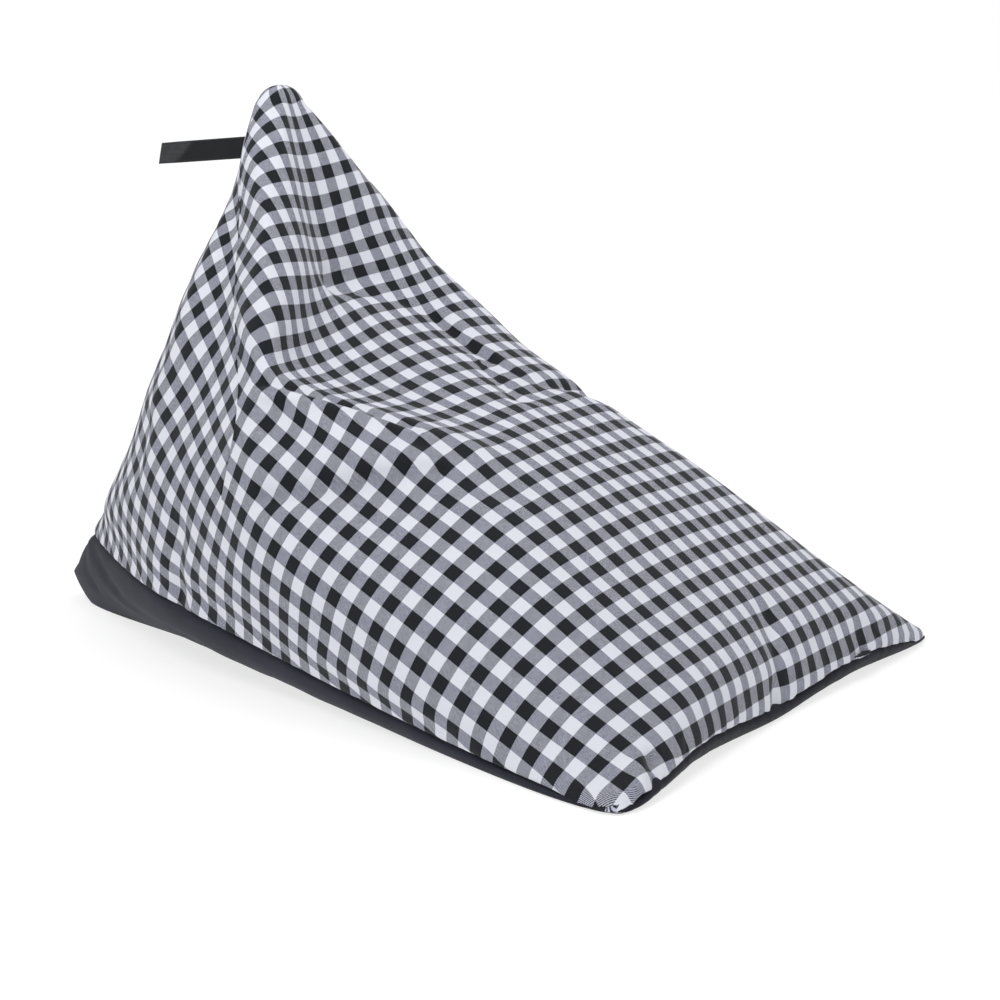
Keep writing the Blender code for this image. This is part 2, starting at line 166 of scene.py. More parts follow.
# Finer creases, in the same columns
FINE_FOLDS = (
    # the left edge of the seat: its ridge and the dip behind it
    ((-0.285, 0.645, 0.424), (-0.244, 0.562, 0.405), (-0.197, 0.440, 0.367), 0.011, 0.0060),
    ((-0.276, 0.650, 0.441), (-0.226, 0.578, 0.420), (-0.190, 0.470, 0.385), 0.012, -0.0080),
    # the long dent in the left flank, with the swelling above it
    ((-0.339, 0.602, 0.294), (-0.303, 0.520, 0.309), (-0.223, 0.398, 0.334), 0.014, -0.0100),
    ((-0.324, 0.610, 0.334), (-0.286, 0.520, 0.347), (-0.226, 0.418, 0.347), 0.026, 0.0075),
    # the seat's two creases: a narrow line along each, with the broad trough of the right one part filled
    ((-0.001, 0.738, 0.545), (0.100, 0.690, 0.500), (0.150, 0.652, 0.473), 0.010, -0.005),
    ((0.139, 0.650, 0.476), (0.136, 0.600, 0.452), (0.127, 0.545, 0.428), 0.010, -0.0065),
    ((0.118, 0.715, 0.508), (0.132, 0.650, 0.473), (0.112, 0.569, 0.443), 0.026, 0.0070),
    ((0.106, 0.550, 0.436), (0.086, 0.506, 0.420), (0.056, 0.440, 0.398), 0.024, 0.0110),
    ((0.130, 0.575, 0.440), (0.134, 0.480, 0.404), (0.228, 0.451, 0.375), 0.012, -0.0050),
    ((0.120, 0.455, 0.392), (0.150, 0.457, 0.392), (0.182, 0.454, 0.388), 0.022, 0.0070),
    ((0.196, 0.464, 0.390), (0.208, 0.410, 0.362), (0.213, 0.335, 0.324), 0.011, -0.004),
    ((0.170, 0.640, 0.480), (0.140, 0.560, 0.450), (0.120, 0.470, 0.410), 0.014, 0.003),
    # the front hem's own little creases
    ((0.051, 0.043, 0.127), (0.018, 0.018, 0.080), (-0.007, 0.006, 0.028), 0.009, -0.004),
    ((0.254, -0.004, 0.062), (0.247, -0.005, 0.045), (0.239, -0.006, 0.028), 0.009, -0.0015),
    ((0.350, -0.004, 0.055), (0.346, -0.006, 0.040), (0.341, -0.009, 0.024), 0.007, -0.003),
    # the ear at the left front corner and the deep tuck beside it
    ((-0.382, 0.004, 0.050), (-0.396, -0.002, 0.034), (-0.410, -0.008, 0.014), 0.014, 0.0080),
    ((-0.358, 0.000, 0.048), (-0.366, -0.006, 0.034), (-0.380, -0.012, 0.014), 0.009, -0.0120),
    # the rear of the left flank
    ((-0.286, 0.803, 0.215), (-0.272, 0.818, 0.165), (-0.250, 0.834, 0.118), 0.010, -0.0015),
    ((-0.300, 0.755, 0.190), (-0.292, 0.765, 0.150), (-0.280, 0.775, 0.110), 0.010, -0.0020),
    ((-0.217, 0.923, 0.345), (-0.224, 0.929, 0.316), (-0.229, 0.936, 0.287), 0.012, -0.0030),
    # the crisp rear edge of the left wing
    ((-0.076, 0.881, 0.640), (-0.174, 0.877, 0.500), (-0.214, 0.902, 0.380), 0.016, 0.0040),
)

# How finely the cover is divided
SPAN_COLUMNS = (38, 32, 30, 40, 24, 18, 12)
SEAM_STEPS = (0.0012, 0.0028, 0.0052, 0.0085, 0.0130)
COVER_ROWS = 196
HEM_ROWS = 14
HEM_BAND = 0.024
TIP_ROWS = 12
UNDERSIDE_SCALES = (0.985, 0.95, 0.85, 0.60, 0.30)
BASE_ROWS = 31

# The sewn darts and the back seam
SEAM_END_HEIGHT = 0.245
SEAM_FADE = 0.060
SEAM_REACH = 0.0060
SEAM_DEPTH = 0.0004
SEAM_CUT_REACH = 0.0011
SEAM_CUT_DEPTH = 0.0020
SEAM_LIP_AT = 0.0026
SEAM_LIP_REACH = 0.0020
SEAM_LIP_RISE = 0.0012
BACK_SEAM_SHARE = 0.9
PUCKER_REACH = 0.020
PUCKER_DEPTH = 0.0006
PUCKER_PITCH = 0.019

# The hem: the cloth hangs a little over its seam and rolls under into it, with small gathers
HEM_TUCK = 0.0065
HEM_TUCK_BAND = 0.009
HEM_PROUD = 0.0026
HEM_PROUD_AT = 0.012
HEM_SAG_AT = 0.008
HEM_SAG_REACH = 0.010
HEM_SAG_FRONT = 0.0075
HEM_SAG_SIDE = 0.0030
HEM_SAG_CORNER = 0.0160
HEM_CORNER_AT = 0.008
HEM_CORNER_REACH = 0.055
HEM_CORNER_REACH_FRONT = 0.020
HEM_CORNER_PROUD = 0.0110
HEM_CORNER_FULL_AT = 0.010
HEM_CORNER_FULL_REACH = 0.024
HEM_RIGHT_CORNER_SHARE = 0.3
HEM_SCALLOP = 0.6
HEM_SCALLOP_SIZE = 0.021
HEM_LOWEST = 0.0018
HEM_CORNER_CLEAR = 0.0022
HEM_FRONT_BAND = 0.05
HEM_SAG_BAND = 0.004
HEM_FULL_BAND = 0.003
GATHER_PITCH = 0.036
GATHER_REACH = 0.0048
GATHER_RISE = 0.026
GATHER_FRONT_DEPTH = 0.0036
GATHER_SIDE_DEPTH = 0.0014
GATHER_SHOULDER = 0.45
GATHER_SHOULDER_REACH = 2.3

# How the gathers differ: ranges of their depth, reach and rise, and of the way from one to the next
GATHER_DEPTHS = (0.35, 1.25)
GATHER_REACHES = (0.7, 1.5)
GATHER_RISES = (0.6, 1.7)
GATHER_PITCHES = (0.55, 1.45)

# Uneven filling: size and height of its lumps, and the band above the hem where they set in
LUMPS = ((0.150, 0.0022), (0.060, 0.0011), (0.026, 0.0004))
LUMPS_BAND = 0.05

# The base panel's own sizes
BASE_TUCK = 0.0075
BASE_TUCK_BAND = 0.012
BASE_CORNER_TUCK = 2.0
BASE_CORNER_TUCK_FROM = 0.003
BASE_CORNER_TUCK_RISE = 0.010
BASE_GATHER_SHARE = 0.45
BASE_LUMPS = ((0.110, 0.0020), (0.045, 0.0009))
BASE_CALM_BAND = 0.020
BASE_SETTLED_BAND = 0.006
BASE_LOWEST = 0.0004

# Creases of the base panel's left side: start, middle and end (x, back, height), reach, depth in or out
BASE_FOLDS = (
    ((-0.016, 1.216, 0.112), (-0.052, 1.192, 0.080), (-0.086, 1.150, 0.038), 0.009, -0.0040),
    ((-0.030, 1.200, 0.122), (-0.092, 1.135, 0.096), (-0.146, 1.048, 0.066), 0.010, -0.0030),
    ((-0.006, 1.232, 0.100), (-0.018, 1.246, 0.068), (-0.030, 1.236, 0.024), 0.009, -0.0035),
    ((-0.040, 1.195, 0.104), (-0.100, 1.112, 0.070), (-0.154, 1.020, 0.040), 0.014, 0.0030),
    ((-0.060, 1.165, 0.126), (-0.128, 1.060, 0.108), (-0.190, 0.955, 0.086), 0.009, -0.0022),
    ((-0.150, 1.030, 0.050), (-0.196, 0.920, 0.044), (-0.236, 0.810, 0.036), 0.012, -0.0020),
)
BASE_RIGHT_SHARE = 0.8

# The cloth as one flat sheet, in checks of the gingham
CHECK = 0.01977
SHEET_MIDDLE = 19.07
SHEET_HEM = -15.55
SHEET_TURN = math.radians(-1.65)
SHEET_SPANS = (9, 8, 6, 6, 4, 4, 3)
SHEET_ROWS = 44
SHEET_TIP_ROWS = 3
SHEET_ROUNDS = 60
FLAT_CORNER = (0.0, -16.0)
FLAT_REAR = (-23.0, 47.0)
FLAT_TIP = (16.0, 47.0)
FLAT_WING_TIP = (5.0, 46.0)
FLAT_BACK_TIP = (3.0, 49.0)
FLAT_MIDDLE = 18.5

# The handle: a strip folded double and held in the back seam
HANDLE_WIDTH = 0.0325
HANDLE_THICKNESS = 0.0024
HANDLE_SEAM_HEIGHT = 0.736
HANDLE_END_BACK = 1.084
HANDLE_SEAM_BACK = 0.9023
HANDLE_IN_SEAM = 0.014
HANDLE_DROP = 0.0126
HANDLE_RUN = 0.160
HANDLE_HALF_GAP = 0.0040
HANDLE_SEAM_HALF_GAP = 0.0014
HANDLE_OPENS_BY = 0.35
HANDLE_STEPS = 60
HANDLE_TURN_STEPS = 14
HANDLE_SLANT = 0.0038
HANDLE_SLANT_FROM = 0.040
HANDLE_EDGE_ROUND = 0.0011
HANDLE_FLAT_INSET = 0.0052
HANDLE_FLAT_COLUMNS = 11
HANDLE_EDGE_INSETS = (0.0046, 0.0038, 0.0034, 0.0030, 0.0026, 0.0022,
                      0.0016, 0.0011, 0.0007, 0.0003, 0.0001)
STITCH_INSET = 0.0030
STITCH_PITCH = 0.0042
STITCH_LENGTH = 0.0030
STITCH_RADIUS = 0.00032
STITCH_AROUND = 6
STITCH_LIFT = 0.3
STITCH_SHAPE = ((-1.0, 0.15), (-0.7, 0.8), (0.0, 1.0), (0.7, 0.8), (1.0, 0.15))
STITCH_GROOVE_REACH = 0.0007
STITCH_GROOVE_DEPTH = 0.00028

# Where the hem's own frame stands in the shared frame
HEM_FRAME_AT = (-0.02159, -0.62464, 0.0)

# The gingham: colours of its yarns, yarns to a check and the look of the mixed checks
WHITE_YARN = (0.690, 0.702, 0.768)
DARK_YARN = (0.0150, 0.0170, 0.0210)
YARNS_A_CHECK = 44.0
CHECK_EDGE = (0.480, 0.520)
MIXED_DEPTH = 0.26
MIXED_STREAKS = (0.05, 0.38)
MIXED_TINT = (0.978, 0.988, 1.030)
BLUISH_TINT = (0.985, 0.990, 1.045)
SLUB_ALONG = (26.0, 2.2, 1.0)
SLUB_ACROSS = (2.2, 26.0, 1.0)

# The charcoal cloth: one weave of it, its two tones, and the painted shade over its front part, where the
# cover's hem overhangs it
WEAVE_PITCH = 0.0014
CHARCOAL_DARK = (0.0160, 0.0180, 0.0285)
CHARCOAL_LIGHT = (0.0240, 0.0265, 0.0400)
CHARCOAL_FRONT_PAINTED_SHADE = (0.52, 0.52, 0.55)
CHARCOAL_PAINTED_SHADE_BAND = (-0.600, -0.480)

# The leather: its dark colour and the lighter colour of its painted highlights, the slant and start of the
# painted highlight at the folded end, and the painted highlight lines along its edges
LEATHER_DARK = (0.0065, 0.0072, 0.0088)
LEATHER_PAINTED_HIGHLIGHT = (0.0440, 0.0465, 0.0510)
HIGHLIGHT_SLANT = 1.12
HIGHLIGHT_FROM = 0.402
HIGHLIGHT_BAND = 0.014
EDGE_HIGHLIGHT_INSETS = (0.0024, 0.0012)
EDGE_HIGHLIGHT_STRENGTH = 0.55

# The studio
KEY_LIGHT = ((-2.6, -0.2, 3.8), 2.6, 62.0)
TOP_LIGHT = ((0.2, -0.4, 3.6), 2.4, 34.0)
LIGHTS_TOWARDS = (0.0, 0.0, 0.3)
FLOOR_COLOUR = (0.34, 0.34, 0.342, 1.0)
FLOOR_GLOW_BAND = (1.2, 4.0)
FLOOR_GLOW = (0.73, 0.86)
SKY_BAND = (0.06, 0.22)
SKY_GLOW = (1.0, 0.57)
CAMERA_AT = (-2.6027, -1.8359, 0.8804)
CAMERA_WAY = (0.8241, 0.5295, -0.2011)
CAMERA_LENS = 79.2
FLOOR_RADIUS = 40.0

draw = np.random.default_rng(11)


# Smooth curves and surfaces

def smooth_through(knots, values, at, closed=False):
    """A cubic that bends as little as it can through the values, one row per knot."""
    knots = np.asarray(knots, float)
    values = np.asarray(values, float)
    count = len(values)
    steps = np.diff(knots)
    system = np.zeros((count, count))
    right = np.zeros_like(values)
    for here in range(count):
        if not closed and here in (0, count - 1):
            system[here, here] = 1.0
            continue
        before, after = (here - 1) % count, (here + 1) % count
        left, ahead = steps[here - 1], steps[here]
        system[here, before] += left
        system[here, here] += 2.0 * (left + ahead)
        system[here, after] += ahead
        slope_ahead = (values[after] - values[here]) / ahead
        slope_left = (values[here] - values[before]) / left
        right[here] = 6.0 * (slope_ahead - slope_left)
    bends = np.linalg.solve(system, right)
    if closed:
        values = np.concatenate([values, values[:1]])
        bends = np.concatenate([bends, bends[:1]])
    at = np.asarray(at, float)
    low = np.clip(np.searchsorted(knots, at, side="right") - 1, 0, len(steps) - 1)
    width = steps[low][:, None]
    a = (knots[low + 1] - at)[:, None]
    b = (at - knots[low])[:, None]
    straight = (values[low] * a + values[low + 1] * b) / width
    bent = bends[low] * (a**3 / width - a * width) + bends[low + 1] * (b**3 / width - b * width)
    return straight + bent / 6.0


def ease(share):
    share = np.clip(share, 0.0, 1.0)
    return share * share * (3.0 - 2.0 * share)


def bell(away, reach):
    """One at no distance, falling off softly with the reach."""
    return np.exp(-((away / reach) ** 2))


def crest(height):
    """How far the crest leans to the right at a height."""
    part = min(max((height - CREST_LEAN_FROM) / (TOP_SECTION - CREST_LEAN_FROM), 0.0), 1.0)
    return CREST_LEAN * part


def both_flanks(stations, height):
    """The stations of the left flank, then those of the right, as one loop of points."""
    levels, *columns = zip(*RIGHT_FLANK)
    shoulder, corner, wider = (np.interp(height, levels, column) for column in columns)
    left = [(crest(level) - out, back, level) for out, back, level in stations]
    right = [(crest(level) + out, back, level) for out, back, level in stations]
    right[1] = (right[1][0], right[1][1] - shoulder, right[1][2])
    right[2] = (right[2][0] + wider, right[2][1] - corner, right[2][2])
    return np.array(left + right[-2:0:-1])


def section_stations(section):
    """A section's stations with their heights. Below LEVEL_FROM a cut follows the rise of the hem."""
    height = section[0]
    stations = []
    for (out, back), hem in zip(section[1:], HEM):
        if height < LEVEL_FROM:
            share = (height - HEM[0][2]) / (LEVEL_FROM - HEM[0][2])
            lifted = hem[2] + share * (LEVEL_FROM - hem[2])
        else:
            lifted = height
        stations.append((out, back, lifted))
    return stations


def station_loops():
    """The cover's loops of points from the hem to the top section, then the base's two loops."""
    cover = [both_flanks(HEM, 0.0)]
    cover += [both_flanks(section_stations(section), section[0]) for section in SECTIONS]
    swell = both_flanks(BASE_SWELL, 0.0)
    contact = both_flanks([(out, back, 0.0) for out, back in BASE_CONTACT], 0.0)
    return np.array(cover), swell, contact


def loop_knots(loops):
    """One spacing of the stations, shared by every loop: the mean distance from each to the next."""
    ahead = np.linalg.norm(np.roll(loops, -1, axis=1) - loops, axis=2).mean(axis=0)
    return np.concatenate([[0.0], np.cumsum(ahead)])


def round_loop(knots, loop, places):
    """A smooth loop through the stations, drawn out to a point at each front corner."""
    points = smooth_through(knots, loop, places, closed=True)
    fade = bell(points[:, 2], CORNER_FADE)
    for corner, way in ((knots[2], LEFT_CORNER_WAY), (knots[-1] - knots[2], RIGHT_CORNER_WAY)):
        away = np.abs((places - corner) / CORNER_REACH) ** CORNER_SHARPNESS
        pull = CORNER_POINT * fade * np.exp(-away)
        points[:, 0] += way[0] * pull
        points[:, 1] += way[1] * pull
    return points


def rear_fold(knots, places):
    """How sharply the base's side is folded at each column."""
    return REAR_FOLD * bell(places - knots[7], REAR_FOLD_REACH)[:, None]


def base_ring(contact, swell, edge, share, fold):
    """A ring of the base's side, from the floor over the swell to the hem: a bow, or two straight runs
    where it is folded."""
    turn = 1.0 - share
    bowed = contact * turn**2 + (4 * swell - contact - edge) * turn * share + edge * share**2
    below = contact + (swell - contact) * 2.0 * share
    above = swell + (edge - swell) * (2.0 * share - 1.0)
    return bowed * (1.0 - fold) + (below if share < 0.5 else above) * fold


def surface_normals(grid):
    """Outward normals of a grid of points, rows upward and columns round the bag."""
    along = np.roll(grid, -1, axis=1) - np.roll(grid, 1, axis=1)
    upward = np.gradient(grid, axis=0)
    normals = np.cross(upward, along)
    length = np.linalg.norm(normals, axis=2, keepdims=True)
    return normals / np.maximum(length, 1e-9)


def level_ways(normals):
    """The level direction of each normal, one long."""
    level = normals * [1.0, 1.0, 0.0]
    return level / np.maximum(np.linalg.norm(level, axis=2, keepdims=True), 1e-9)


def distance_to_fold(points, start, middle, end, steps=40):
    """The distance of each point to a bent line that starts, passes its middle and ends."""
    start, middle, end = (np.array(place, float) for place in (start, middle, end))
    share = np.linspace(0.0, 1.0, steps)[:, None]
    pull = 2.0 * middle - 0.5 * (start + end)
    line = (1 - share) ** 2 * start + 2 * share * (1 - share) * pull + share**2 * end
    nearest = np.full(points.shape[:-1], np.inf)
    for place in line:
        nearest = np.minimum(nearest, np.linalg.norm(points - place, axis=-1))
    return nearest


def fold_shift(grid, folds):
    shift = np.zeros(grid.shape[:2])
    for start, middle, end, reach, depth in folds:
        shift += depth * bell(distance_to_fold(grid, start, middle, end), reach)
    return shift


class Shell:
    """The filled cover as a smooth surface: a place round the loop and a distance up from the hem."""

    def __init__(self):
        self.loops, self.swell, self.contact = station_loops()
        self.knots = loop_knots(self.loops)
        self.round = self.knots[-1]
        self.darts = (self.knots[4], self.round - self.knots[4])
        self.back = self.knots[7]

    def plain(self, places, rows_at):
        """The surface without its creases. The distances up are given as a share of the whole way."""
        rounds = np.array([round_loop(self.knots, loop, places) for loop in self.loops])
        rise = np.linalg.norm(np.diff(rounds, axis=0), axis=2).mean(axis=1)
        levels = np.concatenate([[0.0], np.cumsum(rise)])
        grid = smooth_through(levels, rounds.reshape(len(levels), -1), levels[-1] * rows_at)
        return grid.reshape(len(rows_at), len(places), 3), levels[-1] * rows_at

    def with_folds(self, places, rows_at):
        grid, up = self.plain(places, rows_at)
        shift = fold_shift(grid, FOLDS)
        shift[0] = 0.0
        return grid + surface_normals(grid) * shift[:, :, None], up

    def with_tip(self, grid, up, tip_rows):
        """Closes the rim at the top with rings that turn over to a blunt tip."""
        rim = grid[-1]
        middle = rim.mean(axis=0)
        start = TIP_START_TURN
        tip = []
        turns = np.linspace(start, TIP_LAST_TURN, tip_rows + 1)[1:]
        for turn in turns:
            width = (math.cos(turn) / math.cos(start)) ** TIP_BLUNTNESS
            ring = middle + (rim - middle) * width
            ring[:, 2] += TIP_RISE * (math.sin(turn) - math.sin(start)) / (1.0 - math.sin(start))
            tip.append(ring)
        tip_up = up[-1] + TIP_LENGTH * (turns - start) / (TIP_LAST_TURN - start)
        return np.concatenate([grid, np.array(tip)]), np.concatenate([up, tip_up])


# The flat sheet of cloth behind the checks

def sheet_places(knots):
    """Columns for the flat sheet, from the back seam round the front to the back seam again.
    Each dart's column stands there twice, once for each of its edges."""
    counts = SHEET_SPANS + SHEET_SPANS[::-1]
    places = []
    for span, count in enumerate(counts):
        places.extend(knots[span] + (knots[span + 1] - knots[span]) * np.arange(count) / count)
    half = sum(SHEET_SPANS)
    wing = sum(SHEET_SPANS[4:])
    order = np.roll(np.arange(2 * half), -half).tolist() + [half]
    right_dart = wing
    left_dart = 2 * half - wing
    columns = order[:right_dart + 1] + order[right_dart:left_dart + 1] + order[left_dart:]
    doubled = (right_dart, left_dart + 1)
    return np.array(places), columns, doubled


def flat_start(shell, places, columns, doubled, shares):
    """A first guess of the flat sheet: straight lines from its hem to its tips."""
    half = shell.back
    corner = shell.knots[2]
    hem_at = (0.0, corner, half)
    hem_u = (FLAT_MIDDLE, FLAT_CORNER[0], FLAT_REAR[0])
    hem_v = (FLAT_CORNER[1], FLAT_CORNER[1], FLAT_REAR[1])
    guess = np.zeros((len(shares), len(columns), 2))
    for index, column in enumerate(columns):
        place = places[column]
        right = index <= len(columns) // 2
        from_front = shell.round - place if right else place
        if right and column == 0:
            from_front = 0.0
        hem = np.array([np.interp(from_front, hem_at, hem_u), np.interp(from_front, hem_at, hem_v)])
        on_wing = index <= doubled[0] or index > doubled[1]
        dart = shell.knots[4]
        if on_wing:
            share = (from_front - dart) / (half - dart)
            top = np.array(FLAT_WING_TIP) * (1 - share) + np.array(FLAT_BACK_TIP) * share
        else:
            share = from_front / dart
            top = np.array([FLAT_MIDDLE + (FLAT_TIP[0] - FLAT_MIDDLE) * share, FLAT_TIP[1]])
        line = hem + (top - hem) * shares[:, None]
        if right:
            line[:, 0] = 2 * FLAT_MIDDLE - line[:, 0]
        guess[:, index] = line
    return guess * CHECK


def sheet_triangles(index, points):
    """Two triangles for each square of the sheet, leaving out the slits of the darts."""
    triangles = []
    rows, columns = index.shape
    for row in range(rows - 1):
        for column in range(columns - 1):
            if np.allclose(points[row + 1, column], points[row + 1, column + 1], atol=1e-9):
                continue
            a, b = index[row, column], index[row, column + 1]
            c, d = index[row + 1, column + 1], index[row + 1, column]
            triangles += [(a, b, c), (a, c, d)] if (row + column) % 2 else [(a, b, d), (b, c, d)]
    return np.array(triangles)


def relax_flat(points, index, guess, rounds):
    """Lays a curved sheet flat: each triangle is turned as it stands in the flat, then all of them are
    drawn together again, round after round, so that lengths on the cloth are kept. The columns run
    from right to left over the sheet, so a triangle's own height counts downward."""
    used, places = np.unique(index, return_inverse=True)
    places = places.reshape(index.shape)
    count = len(used)
    solid = np.empty((count, 3))
    solid[places] = points
    flat = np.empty((count, 2))
    flat[places] = guess
    corners = sheet_triangles(places, points)
    a, b, c = (solid[corners[:, k]] for k in range(3))
    side = b - a
    length = np.linalg.norm(side, axis=1, keepdims=True)
    across = side / length
    normal = np.cross(side, c - a)
    double_area = np.linalg.norm(normal, axis=1)
    upward = np.cross(normal / double_area[:, None], across)
    own = np.zeros((len(corners), 3, 2))
    own[:, 1, 0] = length[:, 0]
    own[:, 2, 0] = ((c - a) * across).sum(axis=1)
    own[:, 2, 1] = -((c - a) * upward).sum(axis=1)
    first, second, edges, weights = [], [], [], []
    for k in range(3):
        i, j = (k + 1) % 3, (k + 2) % 3
        to_i, to_j = own[:, i] - own[:, k], own[:, j] - own[:, k]
        weights.append(np.clip((to_i * to_j).sum(axis=1) / double_area, 0.05, 5.0))
        first.append(corners[:, i])
        second.append(corners[:, j])
        edges.append(own[:, i] - own[:, j])
    first, second = np.concatenate(first), np.concatenate(second)
    edges, weights = np.concatenate(edges), np.concatenate(weights)
    owner = np.tile(np.arange(len(corners)), 3)

    def gather(values):
        held = [np.bincount(first, values[:, k], count) - np.bincount(second, values[:, k], count)
                for k in range(2)]
        return np.stack(held, axis=1)

    def stiffness(places_now):
        return gather(weights[:, None] * (places_now[first] - places_now[second]))

    diagonal = np.bincount(first, weights, count) + np.bincount(second, weights, count)
    for _ in range(rounds):
        now = weights[:, None] * (flat[first] - flat[second])
        dot = np.bincount(owner, (edges * now).sum(axis=1), len(corners))
        turn = np.bincount(owner, edges[:, 0] * now[:, 1] - edges[:, 1] * now[:, 0], len(corners))
        size = np.hypot(dot, turn) + 1e-12
        cosine, sine = (dot / size)[owner], (turn / size)[owner]
        turned = np.stack([cosine * edges[:, 0] - sine * edges[:, 1],
                           sine * edges[:, 0] + cosine * edges[:, 1]], axis=1)
        target = gather(weights[:, None] * turned)
        rest = target - stiffness(flat)
        eased = rest / diagonal[:, None]
        way = eased.copy()
        energy = (rest * eased).sum()
        for _ in range(50):
            pushed = stiffness(way)
            step = energy / max((way * pushed).sum(), 1e-30)
            flat = flat + step * way
            rest = rest - step * pushed
            eased = rest / diagonal[:, None]
            following = (rest * eased).sum()
            way = eased + way * (following / max(energy, 1e-30))
            energy = following
    return flat[places]


def flat_sheet(shell):
    """The cover's cloth laid flat, in checks, for the columns of sheet_places."""
    places, columns, doubled = sheet_places(shell.knots)
    grid, up = shell.with_folds(places, np.linspace(0.0, 1.0, SHEET_ROWS))
    grid, up = shell.with_tip(grid, up, SHEET_TIP_ROWS)
    index = np.arange(len(up) * len(columns)).reshape(len(up), len(columns))
    for column in doubled:
        whole = grid[:, columns[column], 2] < SEAM_END_HEIGHT
        last = int(np.max(np.nonzero(whole)[0])) + 1
        index[:last + 1, column + 1] = index[:last + 1, column]
    guess = flat_start(shell, places, columns, doubled, up / up[-1])
    flat = relax_flat(grid[:, columns], index, guess, SHEET_ROUNDS)
    middle = columns.index(0)
    top = flat[SHEET_ROWS - 1, middle] - flat[0, middle]
    turn = math.atan2(top[0], top[1]) + SHEET_TURN
    spin = np.array([[math.cos(turn), -math.sin(turn)], [math.sin(turn), math.cos(turn)]])
    flat = (flat - flat[0, middle]) @ spin.T / CHECK + [SHEET_MIDDLE, SHEET_HEM]
    return flat, places, columns, doubled, up


# The cover

def fine_places(shell):
    """Columns round the cover, closer together beside either dart and the back seam."""
    counts = SPAN_COLUMNS + SPAN_COLUMNS[::-1]
    seams = {4, 7, len(counts) - 4}
    widest = SEAM_STEPS[-1]
    places = []
    for span, count in enumerate(counts):
        start, end = shell.knots[span], shell.knots[span + 1]
        places.append(start)
        if span in seams:
            places.extend(start + step for step in SEAM_STEPS)
            start += widest
        last = end - widest if span + 1 in seams else end
        places.extend(start + (last - start) * step / count for step in range(1, count))
        if span + 1 in seams:
            places.extend(end - step for step in SEAM_STEPS[::-1])
    return np.array(places)


def fine_rows(total):
    """Rows up the cover as shares of the whole way, closer together at the hem."""
    band = HEM_BAND / total
    low = band * np.linspace(0.0, 1.0, HEM_ROWS, endpoint=False) ** 1.4
    return np.concatenate([low, np.linspace(band, 1.0, COVER_ROWS)])


def column_of(places, place):
    return int(np.argmin(np.abs(places - place)))


def from_column(grid, column):
    """Distance of every point to the point of one column in the same row."""
    return np.linalg.norm(grid - grid[:, column:column + 1], axis=2)


def along_rows(grid):
    """Length along each column from the first row."""
    steps = np.linalg.norm(np.diff(grid, axis=0), axis=2)
    return np.concatenate([np.zeros((1, grid.shape[1])), np.cumsum(steps, axis=0)])


def round_length(ring):
    """Length round a closed ring to each of its points, and once round."""
    steps = np.linalg.norm(np.roll(ring, -1, axis=0) - ring, axis=1)
    return np.concatenate([[0.0], np.cumsum(steps)[:-1]]), steps.sum()


def unevenness(points, size, seed):
    """Soft noise of one size, from -1 to 1, at each point."""
    flat = points.reshape(-1, 3) / size + seed
    values = [noise.noise(Vector(point)) for point in flat]
    return np.array(values).reshape(points.shape[:-1])


def seam_share(height):
    """How much of a dart shows at a height: none below its end, all of it a hand above."""
    return ease((height - SEAM_END_HEIGHT) / SEAM_FADE)


def seam_shift(grid, places, place, share, lip_before, seed):
    """A sewn seam: a fine cut in a soft valley, a lip along one side of it, and small puckers."""
    column = column_of(places, place)
    away = from_column(grid, column)
    before = np.arange(len(places)) < column
    valley = SEAM_DEPTH * bell(away, SEAM_REACH)
    cut = SEAM_CUT_DEPTH * bell(away, SEAM_CUT_REACH)
    lip = SEAM_LIP_RISE * bell(away - SEAM_LIP_AT, SEAM_LIP_REACH)
    lip = np.where(before == lip_before, lip, 0.0)
    up = along_rows(grid)[:, column]
    swing = np.zeros(grid.shape[:2])
    for row, length in enumerate(up):
        one_side = noise.noise(Vector((length / PUCKER_PITCH, seed, 0.0)))
        other_side = noise.noise(Vector((length / PUCKER_PITCH, seed + 7.3, 0.0)))
        swing[row] = np.where(before, one_side, other_side)
    puckers = PUCKER_DEPTH * swing * np.exp(-away / PUCKER_REACH)
    return share * (puckers + lip - valley - cut)


def hem_gathers(once_round, front_from, front_to):
    """Places of the small gathers along the hem: length round, depth, reach and rise of each."""
    gathers = []
    at = 0.0
    while at < once_round - GATHER_PITCH * 0.5:
        in_front = at < front_from or at > front_to
        depth = GATHER_FRONT_DEPTH if in_front else GATHER_SIDE_DEPTH
        depth *= draw.uniform(*GATHER_DEPTHS)
        reach = GATHER_REACH * draw.uniform(*GATHER_REACHES)
        rise = GATHER_RISE * draw.uniform(*GATHER_RISES)
        gathers.append((at, depth, reach, rise))
        at += GATHER_PITCH * draw.uniform(*GATHER_PITCHES)
    return gathers


def gather_shift(length_round, once_round, up_from_hem, gathers):
    shift = np.zeros(up_from_hem.shape)
    for at, depth, reach, rise in gathers:
        away = np.abs(length_round - at)
        away = np.minimum(away, once_round - away)
        across = bell(away, reach) - GATHER_SHOULDER * bell(away, GATHER_SHOULDER_REACH * reach)
        shift -= depth * across[None, :] * np.exp(-((up_from_hem / rise) ** 1.5))
    return shift


def hem_tuck(depth, away, band):
    """How far the cloth is drawn in towards the hem's seam, from nothing at the edge of the band."""
    return depth * np.clip(1.0 - away / band, 0.0, 1.0) ** 2


def front_corners(shell, places, length_round):
    """Length round the hem to the left and to the right front corner."""
    corners = (shell.knots[2], shell.round - shell.knots[2])
    return tuple(length_round[column_of(places, corner)] for corner in corners)


def near_front_corners(length_round, front):
    """How much of the hem's overhang at a front corner each column has. The left corner has the more."""
    past = length_round - front[0] - HEM_CORNER_AT
    at_left = bell(past, np.where(past < 0.0, HEM_CORNER_REACH_FRONT, HEM_CORNER_REACH))
    at_right = bell(length_round - front[1], HEM_CORNER_REACH)
    return at_left + HEM_RIGHT_CORNER_SHARE * at_right


